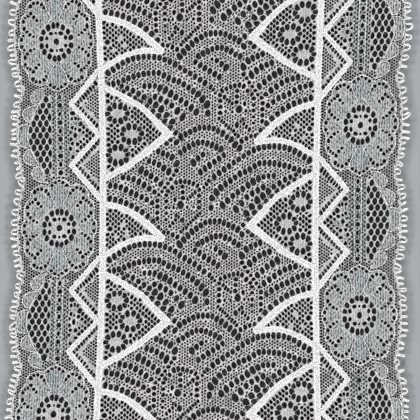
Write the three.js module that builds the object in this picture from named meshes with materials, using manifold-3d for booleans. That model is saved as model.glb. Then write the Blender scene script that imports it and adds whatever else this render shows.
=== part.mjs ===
// A cut length of stretch galloon lace, lying flat with its face up.
// One knitted piece: a thin sheet with picot edges, heavy raised bars and eyelets cut through.
// Millimetres, +Z up. X runs across the lace, Y along it, and the underside lies on z = 0.

import * as THREE from 'three';
import { mergeVertices } from 'three/addons/utils/BufferGeometryUtils.js';
import Module from 'manifold-3d';

const wasm = await Module();
wasm.setup();

// Driving sizes, in millimetres
const REPEAT_LENGTH = 70.5;
const REPEATS_CUT = 2.5;
const SHEET_THICKNESS = 1.0;
const BAR_HEIGHT = 1.5;
const BAR_ROOT = 0.5;

// The pattern is charted on squared paper, and every place in the tables below is in its squares.
// "out" is the distance from the middle line, and "along" runs down the lace from a flower's centre.
const REPEAT_SQUARES = 188;
const HALF_DROP = REPEAT_SQUARES / 2;
const SQUARE = REPEAT_LENGTH / REPEAT_SQUARES;
const CUT_LENGTH = REPEATS_CUT * REPEAT_SQUARES;
const CUT_START = -253;
const CUT_END = CUT_START + CUT_LENGTH;

// How the lace lies: its courses slant and open like a fan, its sides draw in and it drifts a little
const COURSE_SLANT = -0.0263;
const COURSE_FAN = 0.00007;
const WAIST_DRAW_IN = 2.2;
const WAIST_FLARE = 5.2;
const WAIST_PLACE = -3;
const WAIST_REACH = 215;
const DRIFT = -2.6;
const DRIFT_REACH = 410;
const DRIFT_START = -228;

// Picot edge: scallops half a repeat long, each carrying a row of blunt teeth
const NOTCH_OUT = 187;
const SCALLOP_RISE = 7.5;
const SCALLOP_POWER = 0.7;
const TEETH_PER_REPEAT = 32;
const TOOTH_LENGTH = 6.5;
const TOOTH_TIP_SHARE = 0.42;

// Heavy bars, as centre lines
const CORD_OUT = 108.5;
const CORD_WIDTH = 9;
const BAR_WIDTH = 7.5;
const CORD_STEPS = 10;

const ZIGZAG = [
  { out: 110, along: 35 },
  { out: 138, along: 65 },
  { out: 112, along: 95 },
  { out: 138, along: 125 },
  { out: 110, along: 157 },
];
const LEAF_UPPER = [
  { out: 107, along: 47.5 },
  { out: 90, along: 57 },
  { out: 70, along: 68.5 },
  { out: 54, along: 82.5 },
  { out: 42, along: 96 },
];
const LEAF_LOWER = [
  { out: 42, along: 96 },
  { out: 60, along: 111 },
  { out: 80, along: 124.5 },
  { out: 107, along: 141 },
];
const CLAW_UPPER = [
  { out: 107, along: -23 },
  { out: 90, along: -19 },
  { out: 70, along: -8 },
  { out: 48, along: 13 },
];
const CLAW_LOWER = [
  { out: 48, along: 13 },
  { out: 68, along: 12.5 },
  { out: 86, along: 17.5 },
  { out: 107, along: 29 },
];
const CURVED_BARS = [LEAF_UPPER, LEAF_LOWER, CLAW_UPPER, CLAW_LOWER];
const CURVED_BAR_STEPS = 5;
const ZIGZAG_STEPS = ZIGZAG.length - 1;

// Rows of eyelets in the fans, each walked at its pitch
const FAN_EYELET = { wide: 4.6, tall: 6 };
const FAN_ROWS = [
  // Outer arc of the side fan
  {
    pitch: 6.2,
    path: [
      { out: 100, along: 35 },
      { out: 82, along: 23.5 },
      { out: 61, along: 20 },
      { out: 43, along: 22.5 },
      { out: 20, along: 37 },
      { out: 0, along: 50.5 },
    ],
  },
  // Second arc of the side fan
  {
    pitch: 6.2,
    path: [
      { out: 98.5, along: 42.5 },
      { out: 80.5, along: 38.5 },
      { out: 55, along: 34.5 },
      { out: 40.5, along: 40.5 },
      { out: 21, along: 52 },
      { out: 3, along: 68.5 },
    ],
  },
  // Outer arc of the middle fan, which crosses the middle line
  {
    pitch: 6.6,
    path: [
      { out: 29, along: 100 },
      { out: 16, along: 93.5 },
      { out: 4, along: 91.5 },
      { out: -12, along: 97 },
      { out: -30, along: 113.5 },
    ],
  },
];

// Large single eyelets
const LOZENGE_EYELET = { out: 29.5, along: -20, wide: 7, tall: 9 };

// Net leaf in the border: an upright net of eyelets inside a curved outline, cut at twice its pitch
const NET_LEAF = { middleOut: 167, along: 94, columnPitch: 12, rowPitch: 12.2, columns: 2, rows: 5 };
const NET_LEAF_EYELET = { wide: 7, tall: 8.5 };

const EYELET_SIDES = 6;
const END_MARGIN = 6;

/** Places a chart point on the lying lace; across is positive to the right. Returns millimetres. */
function lay(across, along) {
  const fromWaist = THREE.MathUtils.clamp((along - WAIST_PLACE) / WAIST_REACH, -1, 1);
  const fromTop = (along - DRIFT_START) / DRIFT_REACH;
  const spread = WAIST_FLARE * fromWaist * fromWaist - WAIST_DRAW_IN;
  const x = across + spread * THREE.MathUtils.clamp(across / CORD_OUT, -1, 1) + DRIFT * fromTop * fromTop;
  const y = along + across * (COURSE_SLANT + COURSE_FAN * along);
  return new THREE.Vector2(x * SQUARE, -y * SQUARE);
}

/** Lists where one half of the pattern repeats: the right half is mirrored and dropped half a repeat. */
function patternPlaces() {
  const places = [];
  for (const side of [-1, 1]) {
    const drop = side > 0 ? HALF_DROP : 0;
    for (let start = drop - 2 * REPEAT_SQUARES; start <= 2 * REPEAT_SQUARES; start += REPEAT_SQUARES) {
      places.push({ side, start });
    }
  }
  return places;
}

/** Gives a smooth chart curve through a table's points. */
function chartCurve(table) {
  return new THREE.SplineCurve(table.map((row) => new THREE.Vector2(row.out, row.along)));
}

/** How far out the ground reaches at a place along one edge, before the teeth. */
function edgeOut(alongFromFlower) {
  return NOTCH_OUT + SCALLOP_RISE * Math.abs(Math.cos((Math.PI * alongFromFlower) / HALF_DROP)) ** SCALLOP_POWER;
}

/** One edge of the lace from its start to its end: a valley and a two-cornered tip for each tooth. */
function edgePoints(side) {
  const drop = side > 0 ? HALF_DROP : 0;
  const pitch = REPEAT_SQUARES / TEETH_PER_REPEAT;
  const count = Math.round(CUT_LENGTH / pitch);
  const points = [];
  for (let tooth = 0; tooth < count; tooth += 1) {
    const start = CUT_START + tooth * pitch;
    const middle = start + pitch / 2;
    const tip = edgeOut(middle - drop) + TOOTH_LENGTH;
    const halfTip = (TOOTH_TIP_SHARE * pitch) / 2;
    points.push(lay(side * edgeOut(start - drop), start));
    points.push(lay(side * tip, middle - halfTip));
    points.push(lay(side * tip, middle + halfTip));
  }
  points.push(lay(side * edgeOut(CUT_END - drop), CUT_END));
  return points;
}

/** The outline of the whole cut length. */
function outlinePoints() {
  return [...edgePoints(-1), ...edgePoints(1).reverse()];
}

/** One eyelet as a six-sided hole, or null where it would reach the cut ends. */
function eyeletHole(out, along, size, place) {
  const middle = along + place.start;
  if (middle < CUT_START + END_MARGIN || middle > CUT_END - END_MARGIN) {
    return null;
  }
  const corners = [];
  for (let corner = 0; corner < EYELET_SIDES; corner += 1) {
    const turn = ((corner + 0.5) * 2 * Math.PI) / EYELET_SIDES;
    const across = place.side * (out + (size.wide / 2) * Math.sin(turn));
    corners.push(lay(across, middle + (size.tall / 2) * Math.cos(turn)));
  }
  return new THREE.Path(corners);
}

/** Every eyelet that is cut through. */
function eyeletHoles() {
  const holes = [];
  for (const place of patternPlaces()) {
    for (const row of FAN_ROWS) {
      const curve = chartCurve(row.path);
      const count = Math.round(curve.getLength() / row.pitch);
      for (const point of curve.getSpacedPoints(count)) {
        holes.push(eyeletHole(point.x, point.y, FAN_EYELET, place));
      }
    }
    holes.push(eyeletHole(LOZENGE_EYELET.out, LOZENGE_EYELET.along, LOZENGE_EYELET, place));
    for (let row = 0; row < NET_LEAF.rows; row += 1) {
      const across = row % 2 === 0 ? 1 : NET_LEAF.columns;
      for (let column = 0; column < across; column += 1) {
        const out = NET_LEAF.middleOut + (column - (across - 1) / 2) * NET_LEAF.columnPitch;
        const along = NET_LEAF.along + (row - (NET_LEAF.rows - 1) / 2) * NET_LEAF.rowPitch;
        holes.push(eyeletHole(out, along, NET_LEAF_EYELET, place));
      }
    }
  }
  return holes.filter((hole) => hole !== null);
}

/** A bar's outline: its laid centre line pushed out by half its width on each side. */
function barShape(centre, width) {
  const half = (width * SQUARE) / 2;
  const near = [];
  const far = [];
  centre.forEach((point, index) => {
    const before = centre[Math.max(index - 1, 0)];
    const after = centre[Math.min(index + 1, centre.length - 1)];
    const along = after.clone().sub(before).normalize();
    const normal = new THREE.Vector2(-along.y, along.x);
    near.push(point.clone().addScaledVector(normal, half));
    far.push(point.clone().addScaledVector(normal, -half));
  });
  return new THREE.Shape([...near, ...far.reverse()]);
}

/** All the heavy bars: two cords, and a zigzag, a pointed leaf and a claw in each half repeat. */
function barShapes() {
  const shapes = [];
  for (const side of [-1, 1]) {
    const cord = [];
    for (let step = 0; step <= CORD_STEPS; step += 1) {
      const share = step / CORD_STEPS;
      cord.push(lay(side * CORD_OUT, THREE.MathUtils.lerp(CUT_START - END_MARGIN, CUT_END + END_MARGIN, share)));
    }
    shapes.push(barShape(cord, CORD_WIDTH));
  }
  for (const { side, start } of patternPlaces()) {
    const laid = (point) => lay(side * point.x, point.y + start);
    for (const table of CURVED_BARS) {
      shapes.push(barShape(chartCurve(table).getPoints(CURVED_BAR_STEPS).map(laid), BAR_WIDTH));
    }
    const zigzag = ZIGZAG.map((row) => laid(new THREE.Vector2(row.out, row.along)));
    for (let step = 0; step < ZIGZAG_STEPS; step += 1) {
      shapes.push(barShape([zigzag[step], zigzag[step + 1]], BAR_WIDTH));
    }
  }
  return shapes;
}

/** Extrudes a flat shape upwards into a solid that can be joined and cut. */
function prism(shape, bottom, top) {
  const extruded = new THREE.ExtrudeGeometry(shape, { depth: top - bottom, bevelEnabled: false });
  extruded.translate(0, 0, bottom);
  extruded.deleteAttribute('normal');
  extruded.deleteAttribute('uv');
  const merged = mergeVertices(extruded);
  return new wasm.Manifold(
    new wasm.Mesh({
      numProp: 3,
      vertProperties: new Float32Array(merged.attributes.position.array),
      triVerts: new Uint32Array(merged.index.array),
    }),
  );
}

/** Joins sheet and bars into the one piece that the lace is. */
function laceSolid() {
  const sheetShape = new THREE.Shape(outlinePoints());
  sheetShape.holes = eyeletHoles();
  const bars = barShapes().map((shape) => prism(shape, BAR_ROOT, BAR_HEIGHT));
  const trim = prism(new THREE.Shape(outlinePoints()), 0, BAR_HEIGHT);
  return prism(sheetShape, 0, SHEET_THICKNESS).add(wasm.Manifold.union(bars).intersect(trim));
}

/** Turns the joined solid into geometry with its origin under the middle of the sheet. */
function laceGeometry() {
  const mesh = laceSolid().getMesh();
  const geometry = new THREE.BufferGeometry();
  geometry.setAttribute('position', new THREE.BufferAttribute(mesh.vertProperties, mesh.numProp));
  geometry.setIndex(new THREE.BufferAttribute(mesh.triVerts, 1));
  geometry.computeBoundingBox();
  const middle = geometry.boundingBox.getCenter(new THREE.Vector3());
  geometry.translate(-middle.x, -middle.y, 0);
  geometry.computeVertexNormals();
  return geometry;
}

const yarnMaterial = new THREE.MeshStandardMaterial({ color: 0xe9ebea, roughness: 0.8, metalness: 0 });
const lace = new THREE.Mesh(laceGeometry(), yarnMaterial);
lace.name = 'lace';

const part = new THREE.Group();
part.add(lace);

export default part;
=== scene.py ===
"""A cut length of white stretch galloon lace, lying flat with its face up.

The lace is knitted in one piece. Its pattern is charted on squared paper, and every place in the tables is in
those squares: "out" is the distance from the middle line, and "along" runs down the lace from a flower's
centre. The left half is drawn, and the right half is its mirror image, dropped by half a repeat.
"""

import logging
import math
from dataclasses import dataclass
from enum import Enum, IntEnum
from functools import cached_property, partial

import bpy
import numpy as np
from bpy.types import ID, Material, Mesh, Node, NodeSocket, NodeTree, Object
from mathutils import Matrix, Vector, geometry


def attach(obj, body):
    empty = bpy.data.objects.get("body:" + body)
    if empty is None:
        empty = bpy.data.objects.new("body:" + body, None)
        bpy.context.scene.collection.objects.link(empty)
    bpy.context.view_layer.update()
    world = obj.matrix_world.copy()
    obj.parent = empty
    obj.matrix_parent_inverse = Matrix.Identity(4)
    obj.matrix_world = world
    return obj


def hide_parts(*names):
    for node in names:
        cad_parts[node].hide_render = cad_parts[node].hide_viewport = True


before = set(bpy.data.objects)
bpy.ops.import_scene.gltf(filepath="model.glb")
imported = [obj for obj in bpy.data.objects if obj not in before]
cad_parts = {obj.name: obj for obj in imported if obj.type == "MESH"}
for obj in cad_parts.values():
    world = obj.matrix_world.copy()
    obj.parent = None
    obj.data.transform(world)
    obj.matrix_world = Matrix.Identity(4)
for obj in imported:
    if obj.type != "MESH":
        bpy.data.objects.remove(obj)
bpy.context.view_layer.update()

log = logging.getLogger("lace")

# Numbers worked out in rows, two sizes or distances, and the rows of a given table
Array = np.ndarray
Pair = tuple[float, float]
Table = tuple[tuple[float, ...], ...]

MM = 0.001
BODY = "root"
NODE = "lace"
FULL_TURN = 2.0 * math.pi
# A distance too small to matter on the chart, and what keeps divisions clear of zero
SMALL = 1e-6
TINY = 1e-9


def linear(colour: str) -> tuple[float, float, float, float]:
    """Turns an sRGB hex colour into the linear colour that a shader takes.

    Args:
        colour: Six hex digits after a hash.

    Returns:
        Red, green and blue as linear light, and an alpha of one.
    """
    parts = [int(colour[start:start + 2], 16) / 255.0 for start in (1, 3, 5)]
    light = [part / 12.92 if part <= 0.04045 else ((part + 0.055) / 1.055) ** 2.4 for part in parts]
    return (*light, 1.0)


def add_node(tree: NodeTree, kind: str, inputs: dict | None = None, **settings: object) -> Node:
    """Adds a node to a tree, sets it and links it.

    Args:
        tree: Shader or geometry tree that gets the node.
        kind: The node's type name.
        inputs: What goes into the node, by the input's name or number: a value, an output socket, or a node
            for the first of its outputs that is in use.
        **settings: Properties of the node itself.

    Returns:
        The new node.
    """
    node = tree.nodes.new(kind)
    for name, value in settings.items():
        setattr(node, name, value)
    for key, value in (inputs or {}).items():
        if isinstance(value, Node):
            value = next(output for output in value.outputs if output.enabled)
        if isinstance(value, NodeSocket):
            tree.links.new(value, node.inputs[key])
        else:
            node.inputs[key].default_value = value
    return node


def bare_material(name: str) -> Material:
    """Makes a material with no nodes yet.

    Args:
        name: The real material's name.

    Returns:
        The material.
    """
    material = bpy.data.materials.new(name)
    material.use_nodes = True
    material.node_tree.nodes.clear()
    return material


def put(name: str, data: ID) -> Object:
    """Puts a mesh, a light or a camera into the scene.

    Args:
        name: The new object's name.
        data: What it holds.

    Returns:
        The object.
    """
    held = bpy.data.objects.new(name, data)
    bpy.context.scene.collection.objects.link(held)
    return held


def walk(stops: Array, pitch: float, course_share: float = 1.0) -> Array:
    """Walks the smooth curve through table stops at an even pitch.

    Args:
        stops: One row for each stop; the first two columns are its place and the rest go along with it.
        pitch: Wanted distance between points, in squares.
        course_share: What a step along the lace counts for, next to one across it.

    Returns:
        Rows like the stops, evenly spaced from the first stop to the last.
    """
    fine = 16
    stops = np.asarray(stops, dtype=float)
    padded = np.vstack([stops[:1], stops, stops[-1:]])
    share = np.linspace(0.0, 1.0, fine, endpoint=False)[:, None]
    pieces = []
    for before, start, end, after in zip(padded, padded[1:], padded[2:], padded[3:]):
        leave, arrive = (end - before) / 2.0, (after - start) / 2.0
        bend = (2 * start - 2 * end + leave + arrive) * share + (3 * end - 3 * start - 2 * leave - arrive)
        pieces.append((bend * share + leave) * share + start)
    curve = np.vstack([*pieces, stops[-1:]])
    steps = np.diff(curve[:, :2], axis=0) * (1.0, course_share)
    reached = np.concatenate([[0.0], np.cumsum(np.hypot(*steps.T))])
    count = max(1, round(reached[-1] / pitch))
    wanted = np.linspace(0.0, reached[-1], count + 1)
    return np.column_stack([np.interp(wanted, reached, column) for column in curve.T])


def inside(places: Array, outline: Array) -> Array:
    """Tells which places lie inside a closed outline.

    Args:
        places: Points to test, one a row.
        outline: Corners of the outline, in order.

    Returns:
        One truth value for each place.
    """
    across, along = places[:, :1], places[:, 1:2]
    start, end = outline, np.roll(outline, -1, axis=0)
    rise = end[:, 1] - start[:, 1]
    rise = np.where(np.abs(rise) < TINY, TINY, rise)
    crosses = (start[:, 1] > along) != (end[:, 1] > along)
    before = across < start[:, 0] + (end[:, 0] - start[:, 0]) * (along - start[:, 1]) / rise
    return np.count_nonzero(crosses & before, axis=1) % 2 == 1


def distance_to(places: Array, path: Array) -> Array:
    """Measures how far places are from a path.

    Args:
        places: Points to measure from, one a row.
        path: Points of the path, in order.

    Returns:
        The shortest distance for each place.
    """
    nearest = np.full(len(places), np.inf)
    for start, end in zip(path, path[1:]):
        run = end - start
        share = np.clip((places - start) @ run / max(run @ run, TINY), 0.0, 1.0)
        nearest = np.minimum(nearest, np.hypot(*(places - start - share[:, None] * run).T))
    return nearest


def ring(out: float, along: float, wide: float, tall: float, count: int = 40) -> Array:
    """Lists the points of an ellipse on the chart.

    Args:
        out: Place of its centre from the middle line.
        along: Place of its centre along the lace.
        wide: Half its width.
        tall: Half its height.
        count: Number of points.

    Returns:
        The points, in order round the ellipse.
    """
    turn = np.arange(count) * FULL_TURN / count
    return np.column_stack([out + wide * np.cos(turn), along + tall * np.sin(turn)])


class Side(IntEnum):
    """A half of the lace, as the sign of distances across it."""

    LEFT = -1
    RIGHT = 1

    @property
    def word(self) -> str:
        """The side's name, as it stands in the names of pieces."""
        return self.name.lower()


class Opening(IntEnum):
    """What the knitting does at one place of the chart."""

    EYELET = 0
    PORE = 1
    CLOSED = 2
    OUTSIDE = 3


@dataclass(frozen=True)
class Net:
    """One kind of ground: a quincunx of pores.

    Attributes:
        across: Half the distance between pores of one row, in squares.
        along: Distance between rows, in squares.
        wide: Half the width of a pore, in squares; nothing where the ground is closed.
        tall: Half the height of a pore, in squares.
        jacquard: Share of the bluish jacquard yarn in it.
    """

    across: float
    along: float
    wide: float
    tall: float
    jacquard: float = 0.0


class Ground(Enum):
    """The grounds that fill the lace between its eyelets."""

    CENTRE = Net(across=2.58, along=1.5, wide=0.58, tall=1.25)
    BORDER = Net(across=2.42, along=1.45, wide=1.04, tall=1.04)
    TOOTH = Net(across=2.3, along=1.6, wide=0.88, tall=0.9)
    LEAF = Net(across=3.0, along=2.75, wide=1.6, tall=1.95)
    CLAW = Net(across=2.8, along=2.6, wide=1.35, tall=1.65)
    STRIP = Net(across=2.5, along=2.075, wide=0.3, tall=0.5, jacquard=0.5)
    PETAL = Net(across=2.7, along=2.6, wide=0.0, tall=0.0, jacquard=0.5)
    JACQUARD = Net(across=2.7, along=2.6, wide=0.0, tall=0.0, jacquard=1.0)
    PLAIN = Net(across=2.4, along=2.1, wide=0.0, tall=0.0, jacquard=0.25)


# Grounds with their outlines, and paths with their shares of a full width
Fills = list[tuple[Ground, Array]]
Paths = list[tuple[Array, float | Array]]


@dataclass(frozen=True)
class Chart:
    """The squared-paper chart of the lace, and how the cut length lies.

    Attributes:
        repeat_length: Length of one pattern repeat, in metres.
        repeat_squares: Squares in one repeat.
        cut_start: Where the cut length starts, in squares from a left-hand flower's centre.
        cut_end: Where it ends.
        course_slant: How far the knitted courses slant, squares down for each square across.
        course_fan: How much that slant opens along the lace.
        waist_draw_in: How far the sides draw in at the waist.
        waist_flare: How far they spread at the ends.
        waist_place: Where along the lace the waist is.
        waist_reach: Distance from the waist to full flare.
        drift: Sideways drift over the drift's reach.
        drift_reach: Length over which the lace drifts.
        drift_start: Where the drift starts.
        cord_out: Place of the two straight cords.
        notch_out: Reach of the ground at the notches of the scalloped edge.
        scallop_rise: How far the scallops stand out from the notches.
        scallop_power: Roundness of the scallops.
        teeth_per_repeat: Teeth in one repeat of the part's own outline, which sets its middle.
        tooth_length: Reach of those teeth past the ground.
    """

    repeat_length: float = 70.5 * MM
    repeat_squares: float = 188.0
    cut_start: float = -253.0
    cut_end: float = 217.0
    course_slant: float = -0.0263
    course_fan: float = 0.00007
    waist_draw_in: float = 2.2
    waist_flare: float = 5.2
    waist_place: float = -3.0
    waist_reach: float = 215.0
    drift: float = -2.6
    drift_reach: float = 410.0
    drift_start: float = -228.0
    cord_out: float = 108.5
    notch_out: float = 187.0
    scallop_rise: float = 7.5
    scallop_power: float = 0.7
    teeth_per_repeat: int = 32
    tooth_length: float = 6.5

    # Repeats that the cut length touches, counted from the one at its zero
    REPEATS = range(-2, 3)

    @property
    def half_drop(self) -> float:
        """Half a repeat, by which the right half of the pattern is dropped."""
        return self.repeat_squares / 2.0

    @property
    def square(self) -> float:
        """Side of one chart square, in metres."""
        return self.repeat_length / self.repeat_squares

    @property
    def tooth_pitch(self) -> float:
        """Distance between the outline's teeth, in squares."""
        return self.repeat_squares / self.teeth_per_repeat

    def drop(self, side: Side) -> float:
        """How far down one half of the pattern starts."""
        return self.half_drop if side is Side.RIGHT else 0.0

    def sheared(self, places: Array) -> Array:
        """Puts chart places where they lie on the cloth, still in squares.

        Args:
            places: Rows of distance across, positive to the right, and distance along.

        Returns:
            Rows of the place to the right and down.
        """
        across, along = places[:, 0], places[:, 1]
        from_waist = np.clip((along - self.waist_place) / self.waist_reach, -1.0, 1.0)
        from_top = (along - self.drift_start) / self.drift_reach
        spread = self.waist_flare * from_waist ** 2 - self.waist_draw_in
        right = across + spread * np.clip(across / self.cord_out, -1.0, 1.0) + self.drift * from_top ** 2
        down = along + across * (self.course_slant + self.course_fan * along)
        return np.column_stack([right, down])

    @cached_property
    def middle(self) -> Array:
        """Finds where the part's origin is.

        Returns:
            Middle of the cut length's outline, in squares.
        """
        corners = []
        for side in Side:
            tips = np.arange(self.cut_start, self.cut_end, self.tooth_pitch) + self.tooth_pitch / 2.0
            corners.append(self.along_edge(side, tips, self.tooth_length))
            corners.append(self.along_edge(side, np.array([self.cut_start, self.cut_end]), 0.0))
        laid = self.sheared(np.vstack(corners))
        return (laid.min(axis=0) + laid.max(axis=0)) / 2.0

    def lay(self, places: Array) -> Array:
        """Gives the X and Y of chart places in the part's frame, in metres.

        Args:
            places: Rows of distance across and distance along, in squares.

        Returns:
            Rows of X and Y.
        """
        return (self.sheared(places) - self.middle) * (self.square, -self.square)

    def edge_out(self, along: Array) -> Array:
        """How far out the ground reaches, for places along from a flower's centre."""
        bulge = np.abs(np.cos(math.pi * np.asarray(along) / self.half_drop)) ** self.scallop_power
        return self.notch_out + self.scallop_rise * bulge

    def along_edge(self, side: Side, along: Array, out: float) -> Array:
        """Places along one scalloped edge, some way out of it."""
        return np.column_stack([side * (self.edge_out(along - self.drop(side)) + out), along])

    def along_cord(self, side: Side, along: Array) -> Array:
        """Places along one straight cord."""
        return np.column_stack([np.full(len(along), side * self.cord_out), along])

    def fold(self, places: Array) -> Array:
        """Folds places of the whole lace onto the drawn half repeat.

        Args:
            places: Rows of distance across and distance along.

        Returns:
            Rows of out and along, with along within half a repeat of a flower's centre.
        """
        drop = np.where(places[:, 0] > 0.0, self.half_drop, 0.0)
        along = (places[:, 1] - drop + self.half_drop) % self.repeat_squares - self.half_drop
        return np.column_stack([np.abs(places[:, 0]), along])

    def starts(self, side: Side) -> Array:
        """Where along one side the repeats start that the cut length touches."""
        return np.array(self.REPEATS) * self.repeat_squares + self.drop(side)

    def placed(self, drawn: Array, side: Side, start: float) -> Array:
        """Puts drawn rows of out and along on one side of the lace, in the repeat that starts there."""
        return np.column_stack([side * drawn[:, 0], drawn[:, 1] + start])

    def keep(self, places: Array, margin: float) -> Array:
        """Tells which places lie on the cut length, at least a margin from its ends."""
        return (places[:, 1] > self.cut_start + margin) & (places[:, 1] < self.cut_end - margin)


@dataclass(frozen=True)
class Motif:
    """A figure of the pattern, charted on the left half repeat."""

    def eyelets(self) -> Array:
        """Rows of out, along, half width, half height and lean for each eyelet."""
        return np.zeros((0, 5))

    def grounds(self) -> Fills:
        """Grounds that the figure fills, each with its outline; later ones lie over earlier ones."""
        return []

    def threads(self) -> Paths:
        """Paths of the thin outline threads that edge the figure, each with its share of the full width."""
        return []


@dataclass(frozen=True)
class EyeletRow:
    """Eyelets in a row along a curve, nearly evenly spaced across the lace, as they sit on its wales.

    Attributes:
        stops: Places that the row passes, as out, along and the swell of the eyelets there.
        pitch: Distance between eyelets, where the row runs straight across the lace.
        course_share: What a step along the lace counts for, next to one across it.
        wide: Width of an eyelet whose swell is one.
        tall: Height of it.
        lean: Share of the row's own slope that its eyelets lean by.
    """

    stops: Table
    pitch: float = 5.25
    course_share: float = 0.3
    wide: float = 4.4
    tall: float = 6.9
    lean: float = 0.5

    SLOPE_SWELL = 0.15

    def eyelets(self) -> Array:
        """Lists the eyelets of the row, a little larger where it runs steeply.

        Returns:
            Rows of out, along, half width, half height and lean.
        """
        points = walk(np.array(self.stops), self.pitch, self.course_share)
        run = np.gradient(points[:, :2], axis=0)
        slope = np.arctan(run[:, 1] / np.where(np.abs(run[:, 0]) < SMALL, SMALL, run[:, 0]))
        swell = points[:, 2] * (1.0 + self.SLOPE_SWELL * np.abs(np.sin(slope)))
        return np.column_stack(
            [points[:, :2], swell * self.wide / 2.0, swell * self.tall / 2.0, slope * self.lean]
        )


@dataclass(frozen=True)
class Fans(Motif):
    """The fans of eyelet rows that fill the middle of the lace."""

    rows: tuple[EyeletRow, ...] = (
        # Side fan, from under the claw to the pointed leaf, outer row first
        EyeletRow(((101.3, 33.7, 1), (90.4, 26.5, 1), (80, 20.8, 1), (69.7, 18.9, 1), (57, 18.8, 1),
                   (47.3, 20.6, 1), (38.2, 24.9, 1), (28.6, 31.1, 1), (14.3, 40, 1), (4.8, 47, 1)),
                  pitch=5.3, course_share=0.5),
        EyeletRow(((-0.7, 51, 0.8), (-5.7, 57, 0.5)), pitch=2.6),
        EyeletRow(((101.5, 44.9, 0.9), (91, 43.1, 1), (80.5, 38.9, 1), (70.5, 36.2, 1), (60, 34.9, 1),
                   (50, 35.2, 1), (40.5, 41, 1), (30.3, 45, 1), (20.5, 51.6, 1), (10.3, 59.2, 1.2),
                   (2.9, 68.5, 1.25)), pitch=5.05, course_share=0.5),
        EyeletRow(((1.8, 77.5, 1.2),)),
        EyeletRow(((65.5, 47.6, 0.95), (55, 48.2, 1), (44.6, 52.8, 1.25), (33.6, 60.4, 1), (23.4, 67, 1),
                   (13.6, 75.9, 1.25))),
        EyeletRow(((54.9, 58.6, 1), (43.1, 64.5, 1), (37.3, 68.4, 1), (27.2, 80.1, 1.25))),
        # Two rows along the pointed leaf's upper bar
        EyeletRow(((88.3, 47.2, 0.85), (77.3, 51.7, 0.95), (66.9, 58.2, 1), (55.9, 66.5, 1.2),
                   (49.2, 71.4, 1.25), (37.6, 84.7, 1.25)), pitch=5.6, course_share=0.1),
        EyeletRow(((86.4, 52.1, 0.75), (80.8, 56.5, 0.8), (70, 62.2, 0.85), (58, 72.5, 1), (46.1, 83.4, 1.1),
                   (40.1, 90, 1.05)), pitch=5.8, course_share=0.1),
        # Short row from the lozenge down to the outer row's foot
        EyeletRow(((14.5, 25.6, 0.9), (2, 34, 1), (-9.5, 41.8, 1))),
        # Claw fan, above the claw's upper bar, nearest row first
        EyeletRow(((101.5, -28.6, 1), (90.5, -25.4, 1), (79.5, -21.1, 1), (68.5, -14.3, 1), (57.5, -4.5, 1),
                   (52, 2.4, 0.9)), pitch=5.5),
        EyeletRow(((101, -41.6, 1), (90, -39.3, 1), (79.5, -33.6, 1), (69, -29.3, 1), (58.5, -22.5, 0.9))),
        EyeletRow(((88, -49.6, 1), (76.5, -46.8, 1), (66.5, -40.9, 1), (56, -33.6, 0.95))),
        EyeletRow(((69.5, -56.1, 1.25), (58.5, -49.2, 1), (49.5, -41.9, 1))),
        EyeletRow(((61.5, -64.9, 1), (51.5, -61.1, 1), (41.5, -53.7, 1.2))),
        EyeletRow(((52, -74.1, 1), (42.5, -70.3, 1), (37.5, -67.7, 1.15), (33.5, -61.5, 1.25)), pitch=4.7),
        # Small foot of the claw fan, past the claw's point
        EyeletRow(((46.5, 7.3, 0.75), (42, 7.4, 0.75), (32.5, 12.2, 0.8))),
        # Middle fan, which crosses the middle line
        EyeletRow(((29, 100, 1.1), (19.5, 95, 1), (11.5, 91.6, 1), (6, 91.3, 1), (-3, 92.1, 1),
                   (-11.5, 96.9, 1), (-20.5, 103.7, 1.1), (-30, 113.5, 1.2)), pitch=4.75, course_share=0.6),
        EyeletRow(((30, 115.6, 1), (20.5, 109.8, 1), (11.5, 106.1, 1), (2, 107.4, 1),
                   (-6.5, 111.2, 1.1), (-11.5, 113.9, 1.2)), pitch=4.85, course_share=0.6),
        EyeletRow(((16.5, 126, 1.25), (11.5, 122.2, 1), (6.5, 118.3, 0.95), (2, 117.5, 0.5))),
        # Loose eyelets past the pointed leaf's tip
        EyeletRow(((34.3, 95.6, 0.85), (33.4, 105, 1.05)), pitch=10.0, course_share=1.0, lean=0.3),
        EyeletRow(((39.8, 102.2, 1), (43.7, 106.2, 1)), wide=4.3, tall=4.8),
    )

    def eyelets(self) -> Array:
        """Every eyelet of the fans."""
        return np.vstack([row.eyelets() for row in self.rows])


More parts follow.
